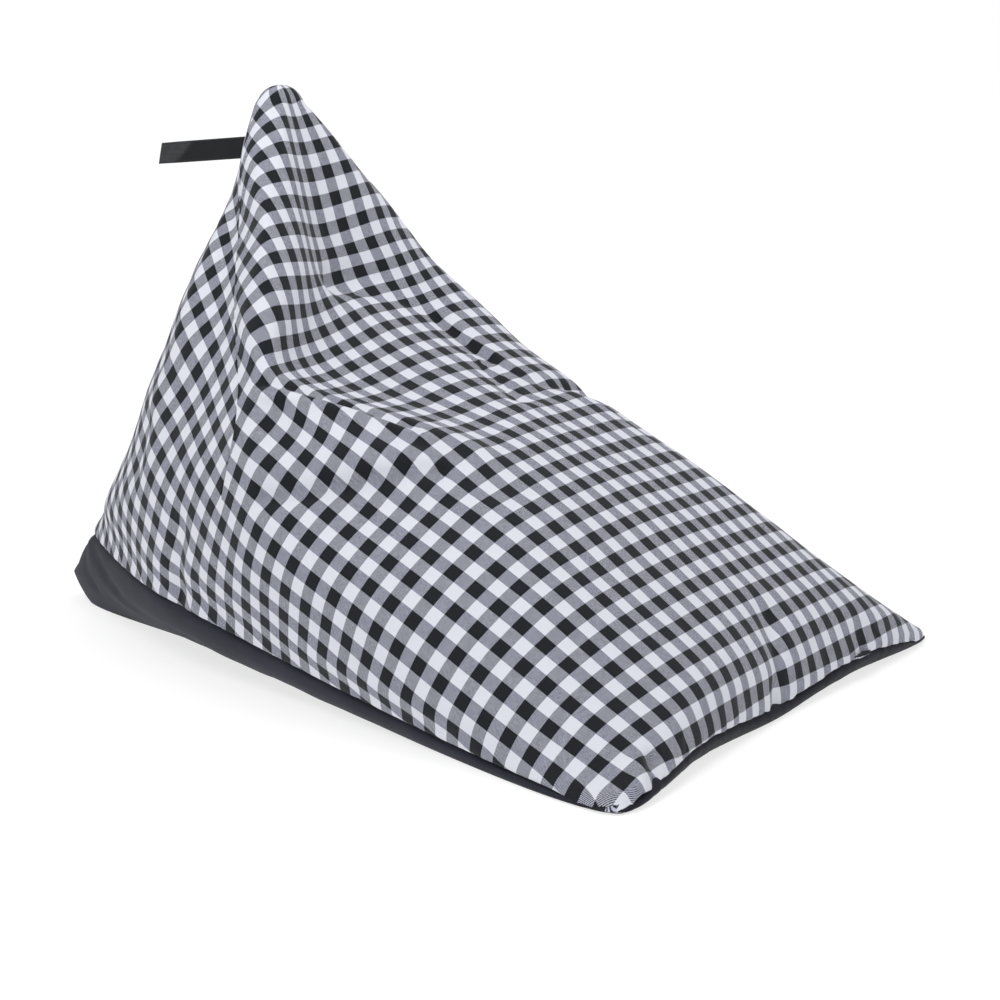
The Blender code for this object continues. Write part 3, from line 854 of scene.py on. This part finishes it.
def cover_surface(shell, places, rows_at):
    """The cover's outside with its folds, seams, puckers, rolled hem and unevenness."""
    grid, up = shell.with_folds(places, rows_at)
    hem = grid[0].copy()
    normals = surface_normals(grid)
    rise = along_rows(grid)
    level = level_ways(normals)

    shift = fold_shift(grid, FINE_FOLDS)
    share = seam_share(grid[:, :, 2])
    shift += seam_shift(grid, places, shell.darts[0], share, True, 3.1)
    shift += seam_shift(grid, places, shell.darts[1], share, False, 23.7)
    shift += BACK_SEAM_SHARE * seam_shift(grid, places, shell.back, 1.0, True, 41.9)
    calm = ease(rise / LUMPS_BAND)
    for seed, (size, depth) in enumerate(LUMPS):
        shift += calm * depth * unevenness(grid, size, 17.0 * seed)

    length_round, once_round = round_length(hem)
    front = front_corners(shell, places, length_round)
    gathers = hem_gathers(once_round, *front)
    shift += gather_shift(length_round, once_round, rise, gathers)
    shift += HEM_PROUD * bell(rise - HEM_PROUD_AT, HEM_PROUD_AT)

    tuck = hem_tuck(HEM_TUCK, rise, HEM_TUCK_BAND)
    grid = grid + normals * shift[:, :, None] - level * tuck[:, :, None]
    past_left, past_right = (ease((length_round - corner) / HEM_FRONT_BAND) for corner in front)
    in_front = past_right + 1.0 - past_left
    at_corner = near_front_corners(length_round, front)
    scallops = 1.0 + HEM_SCALLOP * in_front * unevenness(hem, HEM_SCALLOP_SIZE, 5.0)
    sag = HEM_SAG_SIDE + (HEM_SAG_FRONT - HEM_SAG_SIDE) * in_front * scallops + HEM_SAG_CORNER * at_corner
    overhang = bell(rise - HEM_SAG_AT, HEM_SAG_REACH) * ease(rise / HEM_SAG_BAND)
    fuller = bell(rise - HEM_CORNER_FULL_AT, HEM_CORNER_FULL_REACH) * ease(rise / HEM_FULL_BAND)
    grid += level * (HEM_CORNER_PROUD * at_corner[None, :] * fuller)[:, :, None]
    lowest = HEM_LOWEST + HEM_CORNER_CLEAR * at_corner
    grid[:, :, 2] = np.maximum(grid[:, :, 2] - sag[None, :] * overhang, lowest[None, :])
    return grid, up, hem, gathers, (length_round, once_round)


def sheet_distance(shell, places):
    """Distance round the sheet from the back seam, going by the right flank."""
    return np.where(places >= shell.back - 1e-9, places - shell.back, places + shell.round - shell.back)


def checks_on(shell, places, up):
    """The flat place, in checks, of each corner of each square of the cover."""
    flat, coarse, columns, doubled, coarse_up = flat_sheet(shell)
    known = sheet_distance(shell, coarse)[columns]
    known[-1] = shell.round
    at = sheet_distance(shell, places)
    edges = (0, doubled[0] + 1, doubled[1] + 1, len(columns))
    following = np.roll(at, -1)
    following[np.argmin(np.abs(following))] = shell.round
    corners = np.zeros((len(up) - 1, len(places), 4, 2))
    for start, end in zip(edges, edges[1:]):
        low, high = known[start], known[end - 1]
        part = flat[:, start:end]
        rows = smooth_through(coarse_up, part.reshape(len(coarse_up), -1), up)
        rows = rows.reshape(len(up), end - start, 2).transpose(1, 0, 2).reshape(end - start, -1)
        middle = 0.5 * (at + following)
        inside = np.nonzero((middle > low) & (middle < high))[0]
        for pick, offset in ((at, 0), (following, 1)):
            fine = smooth_through(known[start:end], rows, pick[inside])
            fine = fine.reshape(len(inside), len(up), 2).transpose(1, 0, 2)
            corners[:, inside, offset] = fine[:-1]
            corners[:, inside, 3 - offset] = fine[1:]
    return corners


def underside(hem, lowered):
    """Rings from the hem inward across the face where cover and base lie on each other."""
    middle = np.array([0.0, MIDDLE_BACK, MIDDLE_HEIGHT - lowered])
    rings = []
    for scale in UNDERSIDE_SCALES:
        ring = middle + (hem - [0, 0, lowered] - middle) * scale
        settle = 1.0 - (1.0 - scale) ** 2
        ring[:, 2] = middle[2] + (hem[:, 2] - lowered - middle[2]) * settle
        rings.append(ring)
    return rings, middle


def ring_faces(rings, columns):
    row, column = np.meshgrid(np.arange(rings - 1), np.arange(columns), indexing="ij")
    after = (column + 1) % columns
    low = row * columns
    high = low + columns
    return np.stack([low + column, low + after, high + after, high + column], axis=2).reshape(-1, 4)


def add_mesh(name, points, faces):
    mesh = bpy.data.meshes.new(name)
    mesh.from_pydata([tuple(point) for point in points], [], faces)
    mesh.polygons.foreach_set("use_smooth", [True] * len(mesh.polygons))
    made = bpy.data.objects.new(name, mesh)
    bpy.context.scene.collection.objects.link(made)
    return made


def ring_body(name, rings, bottom, top):
    """A closed mesh of rings stacked upward, with a point below and a point above."""
    columns = len(rings[0])
    points = np.concatenate([np.concatenate(rings), [bottom], [top]])
    total = len(rings) * columns
    faces = [tuple(face) for face in ring_faces(len(rings), columns).tolist()]
    for column in range(columns):
        after = (column + 1) % columns
        faces.append((after, column, total))
        faces.append((total - columns + column, total - columns + after, total + 1))
    return add_mesh(name, points.tolist(), faces)


def set_cloth_map(item, corners, first_face):
    """Writes flat places into the map named Cloth, for a run of four-sided faces."""
    mesh = item.data
    layer = mesh.uv_layers.new(name="Cloth")
    flat = np.zeros((len(mesh.loops), 2), np.float32)
    corners = corners.reshape(-1, 2)
    start = first_face * 4
    flat[start:start + len(corners)] = corners
    layer.data.foreach_set("uv", flat.ravel())


def build_cover(shell, places, rows_at):
    grid, up, hem, gathers, hem_length = cover_surface(shell, places, rows_at)
    grid, up = shell.with_tip(grid, up, TIP_ROWS)
    rings, middle = underside(grid[0], 0.0)
    top = grid[-1].mean(axis=0) + [0, 0, TIP_CAP]
    cover = ring_body("cover_gingham", rings[::-1] + list(grid), middle, top)
    set_cloth_map(cover, checks_on(shell, places, up), len(rings) * len(places))
    return cover, hem, gathers, hem_length


# The base panel

def build_base(shell, places, hem, gathers, hem_length):
    """The base panel with its share of the filling: flat below, swelling at its edge, hem above."""
    swell = round_loop(shell.knots, shell.swell, places)
    contact = round_loop(shell.knots, shell.contact, places)
    contact[:, 2] = 0.0
    edge = hem - [0, 0, GAP]
    fold = rear_fold(shell.knots, places)
    shares = np.linspace(0.0, 1.0, BASE_ROWS)
    grid = np.array([base_ring(contact, swell, edge, share, fold) for share in shares])
    normals = surface_normals(grid)
    up = along_rows(grid)
    down_from_hem = up[-1] - up
    length_round, once_round = hem_length

    mirrored = [tuple((-x, back, height) for x, back, height in line) + sizes
                for *line, reach, depth in BASE_FOLDS for sizes in [(reach, BASE_RIGHT_SHARE * depth)]]
    shift = fold_shift(grid, BASE_FOLDS) + fold_shift(grid, mirrored)
    shift += BASE_GATHER_SHARE * gather_shift(length_round, once_round, down_from_hem, gathers)
    calm = ease(up / BASE_CALM_BAND) * ease(down_from_hem / BASE_CALM_BAND)
    for seed, (size, depth) in enumerate(BASE_LUMPS):
        shift += calm * depth * unevenness(grid, size, 61.0 + 9.0 * seed)
    tuck = hem_tuck(BASE_TUCK, down_from_hem, BASE_TUCK_BAND)
    level = level_ways(normals)
    settled = ease(up / BASE_SETTLED_BAND)
    at_corner = near_front_corners(length_round, front_corners(shell, places, length_round))
    above = np.clip(grid[:, :, 2] - BASE_CORNER_TUCK_FROM, 0.0, BASE_CORNER_TUCK_RISE)
    tuck += BASE_CORNER_TUCK * at_corner * above
    grid = grid + normals * (shift * settled)[:, :, None] - level * tuck[:, :, None]
    grid[1:, :, 2] = np.maximum(grid[1:, :, 2], BASE_LOWEST)
    grid[0, :, 2] = 0.0

    across, middle = underside(grid[-1], GAP)
    floor_middle = np.array([0.0, MIDDLE_BACK, 0.0])
    base = ring_body("base_cloth", list(grid) + across, floor_middle, middle)
    around = np.concatenate([length_round, [once_round]])
    corners = np.zeros((BASE_ROWS - 1, len(places), 4, 2))
    for offset, pick, level in ((0, around[:-1], up), (1, around[1:], np.roll(up, -1, axis=1))):
        corners[:, :, (offset, 3 - offset), 0] = pick[:, None]
        corners[:, :, offset, 1] = level[:-1]
        corners[:, :, 3 - offset, 1] = level[1:]
    set_cloth_map(base, corners, 0)
    return base


# The handle

def handle_path():
    """The folded strip seen from above: out along one leaf, round the fold and back."""
    run = HANDLE_END_BACK - HANDLE_SEAM_BACK
    centre = crest(HANDLE_SEAM_HEIGHT)
    path = [(centre - HANDLE_SEAM_HALF_GAP, HANDLE_SEAM_BACK - HANDLE_IN_SEAM)]
    for step in range(HANDLE_STEPS + 1):
        share = step / HANDLE_STEPS
        opening = math.sin(math.pi * 0.5 * min(1.0, share / HANDLE_OPENS_BY))
        half = HANDLE_SEAM_HALF_GAP + (HANDLE_HALF_GAP - HANDLE_SEAM_HALF_GAP) * opening
        path.append((centre - half, HANDLE_SEAM_BACK + share * (run - HANDLE_HALF_GAP)))
    last = len(path)
    for step in range(1, HANDLE_TURN_STEPS):
        turn = math.pi * step / HANDLE_TURN_STEPS
        back = HANDLE_END_BACK - HANDLE_HALF_GAP + HANDLE_HALF_GAP * math.sin(turn)
        path.append((centre - HANDLE_HALF_GAP * math.cos(turn), back))
    path += [(2 * centre - x, back) for x, back in path[last - 1::-1]]
    return np.array(path)


def handle_frames():
    """The strip's path, its ways along and sideways, and its height at each step."""
    path = handle_path()
    along = np.gradient(path, axis=0)
    along /= np.linalg.norm(along, axis=1)[:, None]
    side = np.stack([-along[:, 1], along[:, 0]], axis=1)
    heights = HANDLE_SEAM_HEIGHT - HANDLE_DROP * (path[:, 1] - HANDLE_SEAM_BACK) / HANDLE_RUN
    return path, along, side, heights


def handle_thickness(level):
    """Half the leather's thickness across its width: rounded edges and a groove under each stitch row."""
    half_width = HANDLE_WIDTH / 2
    outer = np.clip((np.abs(level) - (half_width - HANDLE_EDGE_ROUND)) / HANDLE_EDGE_ROUND, 0.0, 1.0)
    groove = bell(np.abs(level) - (half_width - STITCH_INSET), STITCH_GROOVE_REACH)
    rounded = HANDLE_THICKNESS / 2 * np.sqrt(np.maximum(1.0 - outer**2, 0.0))
    return rounded - STITCH_GROOVE_DEPTH * groove


def slanted(place, level):
    """A place on the handle, moved where the folded end slants: further out at its lower edge."""
    near_end = ease((place[1] - HANDLE_END_BACK + HANDLE_SLANT_FROM) / HANDLE_SLANT_FROM)
    return place[0], place[1] - HANDLE_SLANT * near_end * level / (HANDLE_WIDTH / 2)


def build_handle():
    path, _, side, heights = handle_frames()
    half_width = HANDLE_WIDTH / 2
    inner = np.linspace(-1.0, 1.0, HANDLE_FLAT_COLUMNS) * (half_width - HANDLE_FLAT_INSET)
    edge = half_width - np.array(HANDLE_EDGE_INSETS)
    levels = np.concatenate([-edge[::-1], inner, edge])
    thick = handle_thickness(levels)
    rings = []
    for place, way, height in zip(path, side, heights):
        near = [(*slanted(place + way * t, level), height + level) for level, t in zip(levels, thick)]
        far = [(*slanted(place - way * t, level), height + level)
               for level, t in zip(levels[::-1], thick[::-1])]
        rings.append(np.array(near + far))
    start = rings[0].mean(axis=0)
    end = rings[-1].mean(axis=0)
    return ring_body("handle_strap", rings, start, end)


def stitch_points(centre, forward, outward):
    """Rings of points along one stitch, thickest in its middle."""
    upward = np.array([0, 0, 1.0])
    points = []
    for along_share, size in STITCH_SHAPE:
        for k in range(STITCH_AROUND):
            turn = 2 * math.pi * k / STITCH_AROUND
            ring = outward * math.cos(turn) + upward * math.sin(turn)
            points.append(centre + forward * along_share * STITCH_LENGTH / 2 + ring * size * STITCH_RADIUS)
    return points


def build_stitches():
    """Short stitches in two rows along the outside of both leaves."""
    path, along, side, heights = handle_frames()
    steps = np.concatenate([[0.0], np.cumsum(np.linalg.norm(np.diff(path, axis=0), axis=1))])
    middle = path.mean(axis=0)
    points, faces = [], []
    for at in np.arange(HANDLE_IN_SEAM + STITCH_PITCH, steps[-1] - HANDLE_IN_SEAM, STITCH_PITCH):
        place, way, out = (np.array([np.interp(at, steps, values[:, k]) for k in range(2)])
                           for values in (path, along, side))
        height = np.interp(at, steps, heights)
        if np.dot(out, place - middle) < 0 and abs(place[1] - HANDLE_END_BACK) > HANDLE_HALF_GAP:
            out = -out
        for row in (-1, 1):
            level = row * (HANDLE_WIDTH / 2 - STITCH_INSET)
            lift = handle_thickness(level) + STITCH_LIFT * STITCH_RADIUS
            centre = np.array([*slanted(place + out * lift, level), height + level])
            first = len(points)
            points += stitch_points(centre, np.array([*way, 0.0]), np.array([*out, 0.0]))
            rings = ring_faces(len(STITCH_SHAPE), STITCH_AROUND) + first
            faces += [tuple(face) for face in rings.tolist()]
    return add_mesh("handle_stitches", points, faces)


# Finishes

class Finish:
    """A material and short ways to add nodes to it."""

    def __init__(self, name):
        self.material = bpy.data.materials.new(name)
        self.material.use_nodes = True
        self.tree = self.material.node_tree
        self.shader = self.tree.nodes["Principled BSDF"]

    def set(self, **values):
        for name, value in values.items():
            self.shader.inputs[name.replace("_", " ")].default_value = value

    def put(self, source, socket):
        if isinstance(source, bpy.types.NodeSocket):
            self.tree.links.new(source, socket)
        else:
            socket.default_value = source

    def node(self, kind, **settings):
        made = self.tree.nodes.new(kind)
        for name, value in settings.items():
            setattr(made, name, value)
        return made

    def math(self, operation, first, second=0.0, third=0.0):
        made = self.node("ShaderNodeMath", operation=operation)
        for socket, source in zip(made.inputs, (first, second, third)):
            self.put(source, socket)
        return made.outputs[0]

    def times(self, first, second):
        return self.math("MULTIPLY", first, second)

    def plus(self, first, second):
        return self.math("ADD", first, second)

    def choose(self, share, first, second):
        """The first value where the share is none, the second where it is one."""
        made = self.node("ShaderNodeMix", data_type="FLOAT")
        for name, source in (("Factor", share), ("A", first), ("B", second)):
            self.put(source, made.inputs[name])
        return made.outputs["Result"]

    def between(self, value, low, high, to_low=0.0, to_high=1.0, smooth=False):
        made = self.node("ShaderNodeMapRange")
        made.interpolation_type = "SMOOTHSTEP" if smooth else "LINEAR"
        for name, source in (("Value", value), ("From Min", low), ("From Max", high),
                             ("To Min", to_low), ("To Max", to_high)):
            self.put(source, made.inputs[name])
        return made.outputs["Result"]

    def mix(self, share, first, second, blend="MIX"):
        made = self.node("ShaderNodeMix", data_type="RGBA", blend_type=blend)
        self.put(share, made.inputs["Factor"])
        for name, source in (("A", first), ("B", second)):
            socket = [s for s in made.inputs if s.name == name and s.type == "RGBA"][0]
            self.put((*source, 1.0) if isinstance(source, tuple) else source, socket)
        return [s for s in made.outputs if s.type == "RGBA"][0]

    def noise(self, place, scale, detail=2.0, rough=0.5):
        made = self.node("ShaderNodeTexNoise")
        self.put(place, made.inputs["Vector"])
        made.inputs["Scale"].default_value = scale
        made.inputs["Detail"].default_value = detail
        made.inputs["Roughness"].default_value = rough
        return made.outputs["Fac"]

    def scaled(self, place, factors):
        made = self.node("ShaderNodeMapping")
        self.put(place, made.inputs["Vector"])
        made.inputs["Scale"].default_value = factors
        return made.outputs["Vector"]

    def bump(self, height, strength, distance):
        made = self.node("ShaderNodeBump")
        made.inputs["Strength"].default_value = strength
        made.inputs["Distance"].default_value = distance
        self.put(height, made.inputs["Height"])
        self.put(made.outputs["Normal"], self.shader.inputs["Normal"])

    def flat_place(self):
        made = self.node("ShaderNodeUVMap", uv_map="Cloth")
        return made.outputs["UV"]

    def solid_place(self):
        return self.node("ShaderNodeTexCoord").outputs["Object"]

    def axes(self, place):
        made = self.node("ShaderNodeSeparateXYZ")
        self.put(place, made.inputs[0])
        return made.outputs


def gingham():
    """Light and dark yarns crossing in stripes one check wide, in a twill."""
    cloth = Finish("gingham")
    place = cloth.flat_place()
    across, along, _ = cloth.axes(place)
    light_across, light_along = (
        cloth.between(cloth.math("PINGPONG", way, 1.0), *CHECK_EDGE, smooth=True)
        for way in (across, along))
    yarn_across, yarn_along = (cloth.times(way, YARNS_A_CHECK) for way in (across, along))
    crossing = cloth.plus(cloth.math("FLOOR", yarn_across), cloth.math("FLOOR", yarn_along))
    lengthwise_over = cloth.math("LESS_THAN", cloth.math("WRAP", crossing, 4.0, 0.0), 1.5)

    # slubs: thicker and thinner lengths of yarn
    slubs = [cloth.between(cloth.noise(cloth.scaled(place, factors), 1.0), 0.25, 0.75, -0.5, 0.5)
             for factors in (SLUB_ALONG, SLUB_ACROSS)]
    mixed = cloth.math("ABSOLUTE", cloth.math("SUBTRACT", light_across, light_along))
    shaded = cloth.math("SUBTRACT", 1.0, cloth.times(mixed, MIXED_DEPTH))
    streaks = cloth.times(cloth.plus(*slubs), cloth.between(mixed, 0.0, 1.0, *MIXED_STREAKS))
    light = cloth.choose(lengthwise_over, light_along, light_across)
    light = cloth.times(light, cloth.plus(shaded, streaks))
    colour = cloth.mix(light, DARK_YARN, WHITE_YARN)
    bluish = cloth.times(light_along, cloth.math("SUBTRACT", 1.0, light_across))
    colour = cloth.mix(mixed, colour, MIXED_TINT, blend="MULTIPLY")
    colour = cloth.mix(bluish, colour, BLUISH_TINT, blend="MULTIPLY")
    cloth.put(colour, cloth.shader.inputs["Base Color"])

    rounded_across, rounded_along = (
        cloth.math("ABSOLUTE", cloth.math("SINE", cloth.times(yarn, math.pi)))
        for yarn in (yarn_across, yarn_along))
    height = cloth.choose(lengthwise_over, rounded_along, rounded_across)
    lumps = cloth.noise(cloth.solid_place(), 45.0, 3.0)
    cloth.bump(cloth.plus(height, cloth.times(lumps, 2.0)), 0.35, 0.00018)
    cloth.set(Roughness=0.94, Sheen_Weight=0.13, Sheen_Roughness=0.45, Specular_IOR_Level=0.06)
    return cloth.material


def charcoal():
    """A plain weave of fine charcoal yarns, uneven in tone, with painted shade darkening it along the
    front.
    """
    cloth = Finish("charcoal")
    place = cloth.flat_place()
    across, along, _ = cloth.axes(place)
    weft, warp = (cloth.math("SINE", cloth.times(way, 2.0 * math.pi / WEAVE_PITCH))
                  for way in (across, along))
    blotches = cloth.noise(cloth.solid_place(), 9.0, 4.0, 0.6)
    streaks = cloth.noise(cloth.scaled(place, (40.0, 900.0, 1.0)), 1.0)
    shade = cloth.plus(cloth.between(blotches, 0.3, 0.7), cloth.between(streaks, 0.3, 0.7, -0.2, 0.2))
    colour = cloth.mix(shade, CHARCOAL_DARK, CHARCOAL_LIGHT)
    # painted shade: the colour is darkened towards the front, where the cover's overhang shades the base
    _, back, _ = cloth.axes(cloth.solid_place())
    shaded = cloth.between(back, *CHARCOAL_PAINTED_SHADE_BAND, 1.0, 0.0, smooth=True)
    colour = cloth.mix(shaded, colour, CHARCOAL_FRONT_PAINTED_SHADE, blend="MULTIPLY")
    cloth.put(colour, cloth.shader.inputs["Base Color"])
    wrinkles = cloth.noise(cloth.scaled(cloth.solid_place(), (1.0, 1.0, 2.5)), 30.0, 3.0)
    cloth.bump(cloth.plus(cloth.times(weft, warp), cloth.times(wrinkles, 5.0)), 0.5, 0.00018)
    cloth.set(Roughness=0.72, Sheen_Weight=0.04, Sheen_Roughness=0.35, Specular_IOR_Level=0.22)
    return cloth.material


def leather():
    """Black leather with a fine grain, with painted highlights: a little lighter along its edges and at
    the folded end.
    """
    hide = Finish("leather")
    place = hide.solid_place()
    grain = hide.node("ShaderNodeTexVoronoi", feature="F1")
    hide.put(place, grain.inputs["Vector"])
    grain.inputs["Scale"].default_value = 900.0
    patches = hide.noise(place, 60.0, 4.0, 0.65)
    streaks = hide.noise(hide.scaled(place, (1.0, 18.0, 700.0)), 1.0, 3.0)

    # the place across the strip, which falls a little towards its folded end
    _, back, up = hide.axes(place)
    fall = HANDLE_DROP / HANDLE_RUN
    at_seam = HANDLE_SEAM_HEIGHT + fall * (HANDLE_SEAM_BACK + HEM_FRAME_AT[1])
    level = hide.math("SUBTRACT", hide.plus(up, hide.times(back, fall)), at_seam)

    # painted highlight: the folded end, where the strip bends round, is made lighter, unevenly in patches
    # and streaks
    past = hide.plus(back, hide.times(level, HIGHLIGHT_SLANT))
    uneven_highlight = hide.plus(hide.between(patches, 0.35, 0.65, 0.55, 0.85),
                       hide.between(streaks, 0.35, 0.65, -0.15, 0.20))
    painted_end_highlight = hide.times(hide.between(past, HIGHLIGHT_FROM, HIGHLIGHT_FROM + HIGHLIGHT_BAND, smooth=True), uneven_highlight)
    # painted highlights: lighter lines along both long edges, where the rounded edges catch the light
    line_from, line_to = (HANDLE_WIDTH / 2 - inset for inset in EDGE_HIGHLIGHT_INSETS)
    edge_highlights = hide.between(hide.math("ABSOLUTE", level), line_from, line_to, 0.0, EDGE_HIGHLIGHT_STRENGTH)
    colour = hide.mix(hide.math("MAXIMUM", painted_end_highlight, edge_highlights), LEATHER_DARK, LEATHER_PAINTED_HIGHLIGHT)
    hide.put(colour, hide.shader.inputs["Base Color"])
    hide.put(hide.between(patches, 0.3, 0.7, 0.44, 0.60), hide.shader.inputs["Roughness"])
    hide.set(Specular_IOR_Level=0.22)
    hide.bump(hide.plus(grain.outputs["Distance"], hide.times(patches, 1.5)), 0.35, 0.00015)
    return hide.material


def thread():
    made = Finish("thread")
    made.set(Base_Color=(0.018, 0.019, 0.021, 1.0), Roughness=0.55)
    return made.material


# The studio

def build_floor():
    """A pale round floor that glows a little, more so further out, so that it runs into the sky."""
    rim = [(FLOOR_RADIUS * math.cos(a), FLOOR_RADIUS * math.sin(a), 0.0)
           for a in np.linspace(0.0, 2 * math.pi, 97)[:-1]]
    floor = add_mesh("floor", rim, [tuple(range(len(rim)))])
    pale = Finish("pale_floor")
    pale.set(Base_Color=FLOOR_COLOUR, Roughness=0.95, Specular_IOR_Level=0.0,
             Emission_Color=(1.0, 1.0, 1.0, 1.0))
    across, back, _ = pale.axes(pale.solid_place())
    distance = pale.math("SQRT", pale.plus(pale.times(across, across), pale.times(back, back)))
    pale.put(pale.between(distance, *FLOOR_GLOW_BAND, *FLOOR_GLOW, smooth=True),
             pale.shader.inputs["Emission Strength"])
    floor.data.materials.append(pale.material)


def area_light(name, place, size, power):
    """A soft round lamp that looks towards the lounger."""
    data = bpy.data.lights.new(name, "AREA")
    data.shape = "DISK"
    data.size = size
    data.energy = power
    lamp = bpy.data.objects.new(name, data)
    lamp.location = place
    way = Vector(LIGHTS_TOWARDS) - Vector(place)
    lamp.rotation_euler = way.to_track_quat("-Z", "Y").to_euler()
    bpy.context.scene.collection.objects.link(lamp)


def build_sky():
    """White at the horizon, softer above it."""
    world = bpy.data.worlds.new("studio")
    bpy.context.scene.world = world
    world.use_nodes = True
    tree = world.node_tree
    background = tree.nodes["Background"]
    place = tree.nodes.new("ShaderNodeTexCoord")
    split = tree.nodes.new("ShaderNodeSeparateXYZ")
    ramp = tree.nodes.new("ShaderNodeMapRange")
    tree.links.new(place.outputs["Generated"], split.inputs[0])
    tree.links.new(split.outputs["Z"], ramp.inputs["Value"])
    for name, value in zip(("From Min", "From Max", "To Min", "To Max"), SKY_BAND + SKY_GLOW):
        ramp.inputs[name].default_value = value
    tree.links.new(ramp.outputs["Result"], background.inputs["Strength"])
    background.inputs["Color"].default_value = (1.0, 1.0, 1.0, 1.0)


def build_camera():
    data = bpy.data.cameras.new("camera")
    data.lens = CAMERA_LENS
    data.sensor_width = 36.0
    data.clip_end = 200.0
    camera = bpy.data.objects.new("camera", data)
    camera.location = CAMERA_AT
    camera.rotation_euler = Vector(CAMERA_WAY).to_track_quat("-Z", "Y").to_euler()
    bpy.context.scene.collection.objects.link(camera)
    bpy.context.scene.camera = camera


def into_place(items, shift):
    for item in items:
        mesh = item.data
        points = np.empty(len(mesh.vertices) * 3, np.float32)
        mesh.vertices.foreach_get("co", points)
        points = points.reshape(-1, 3) + shift
        mesh.vertices.foreach_set("co", points.astype(np.float32).ravel())
        mesh.update()


def main():
    shell = Shell()
    places = fine_places(shell)
    total = shell.plain(places[:1], np.array([0.0, 1.0]))[1][-1]
    rows_at = fine_rows(total)
    cover, hem, gathers, hem_length = build_cover(shell, places, rows_at)
    base = build_base(shell, places, hem, gathers, hem_length)
    strap = build_handle()
    stitches = build_stitches()

    into_place((cover, base, strap, stitches), HEM_FRAME_AT)

    for item, made_of, slot, node in (
        (cover, gingham(), "gingham_cloth", "gingham_cover"),
        (base, charcoal(), "charcoal_cloth", "base_panel"),
        (strap, leather(), "black_leather", "handle"),
        (stitches, thread(), "black_leather", None),
    ):
        item.data.materials.append(made_of)
        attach(item, "root")
        if node:
            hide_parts(node)

    build_floor()
    build_sky()
    area_light("key", *KEY_LIGHT)
    area_light("top", *TOP_LIGHT)
    build_camera()
    bpy.context.scene.view_settings.view_transform = "Standard"


main()
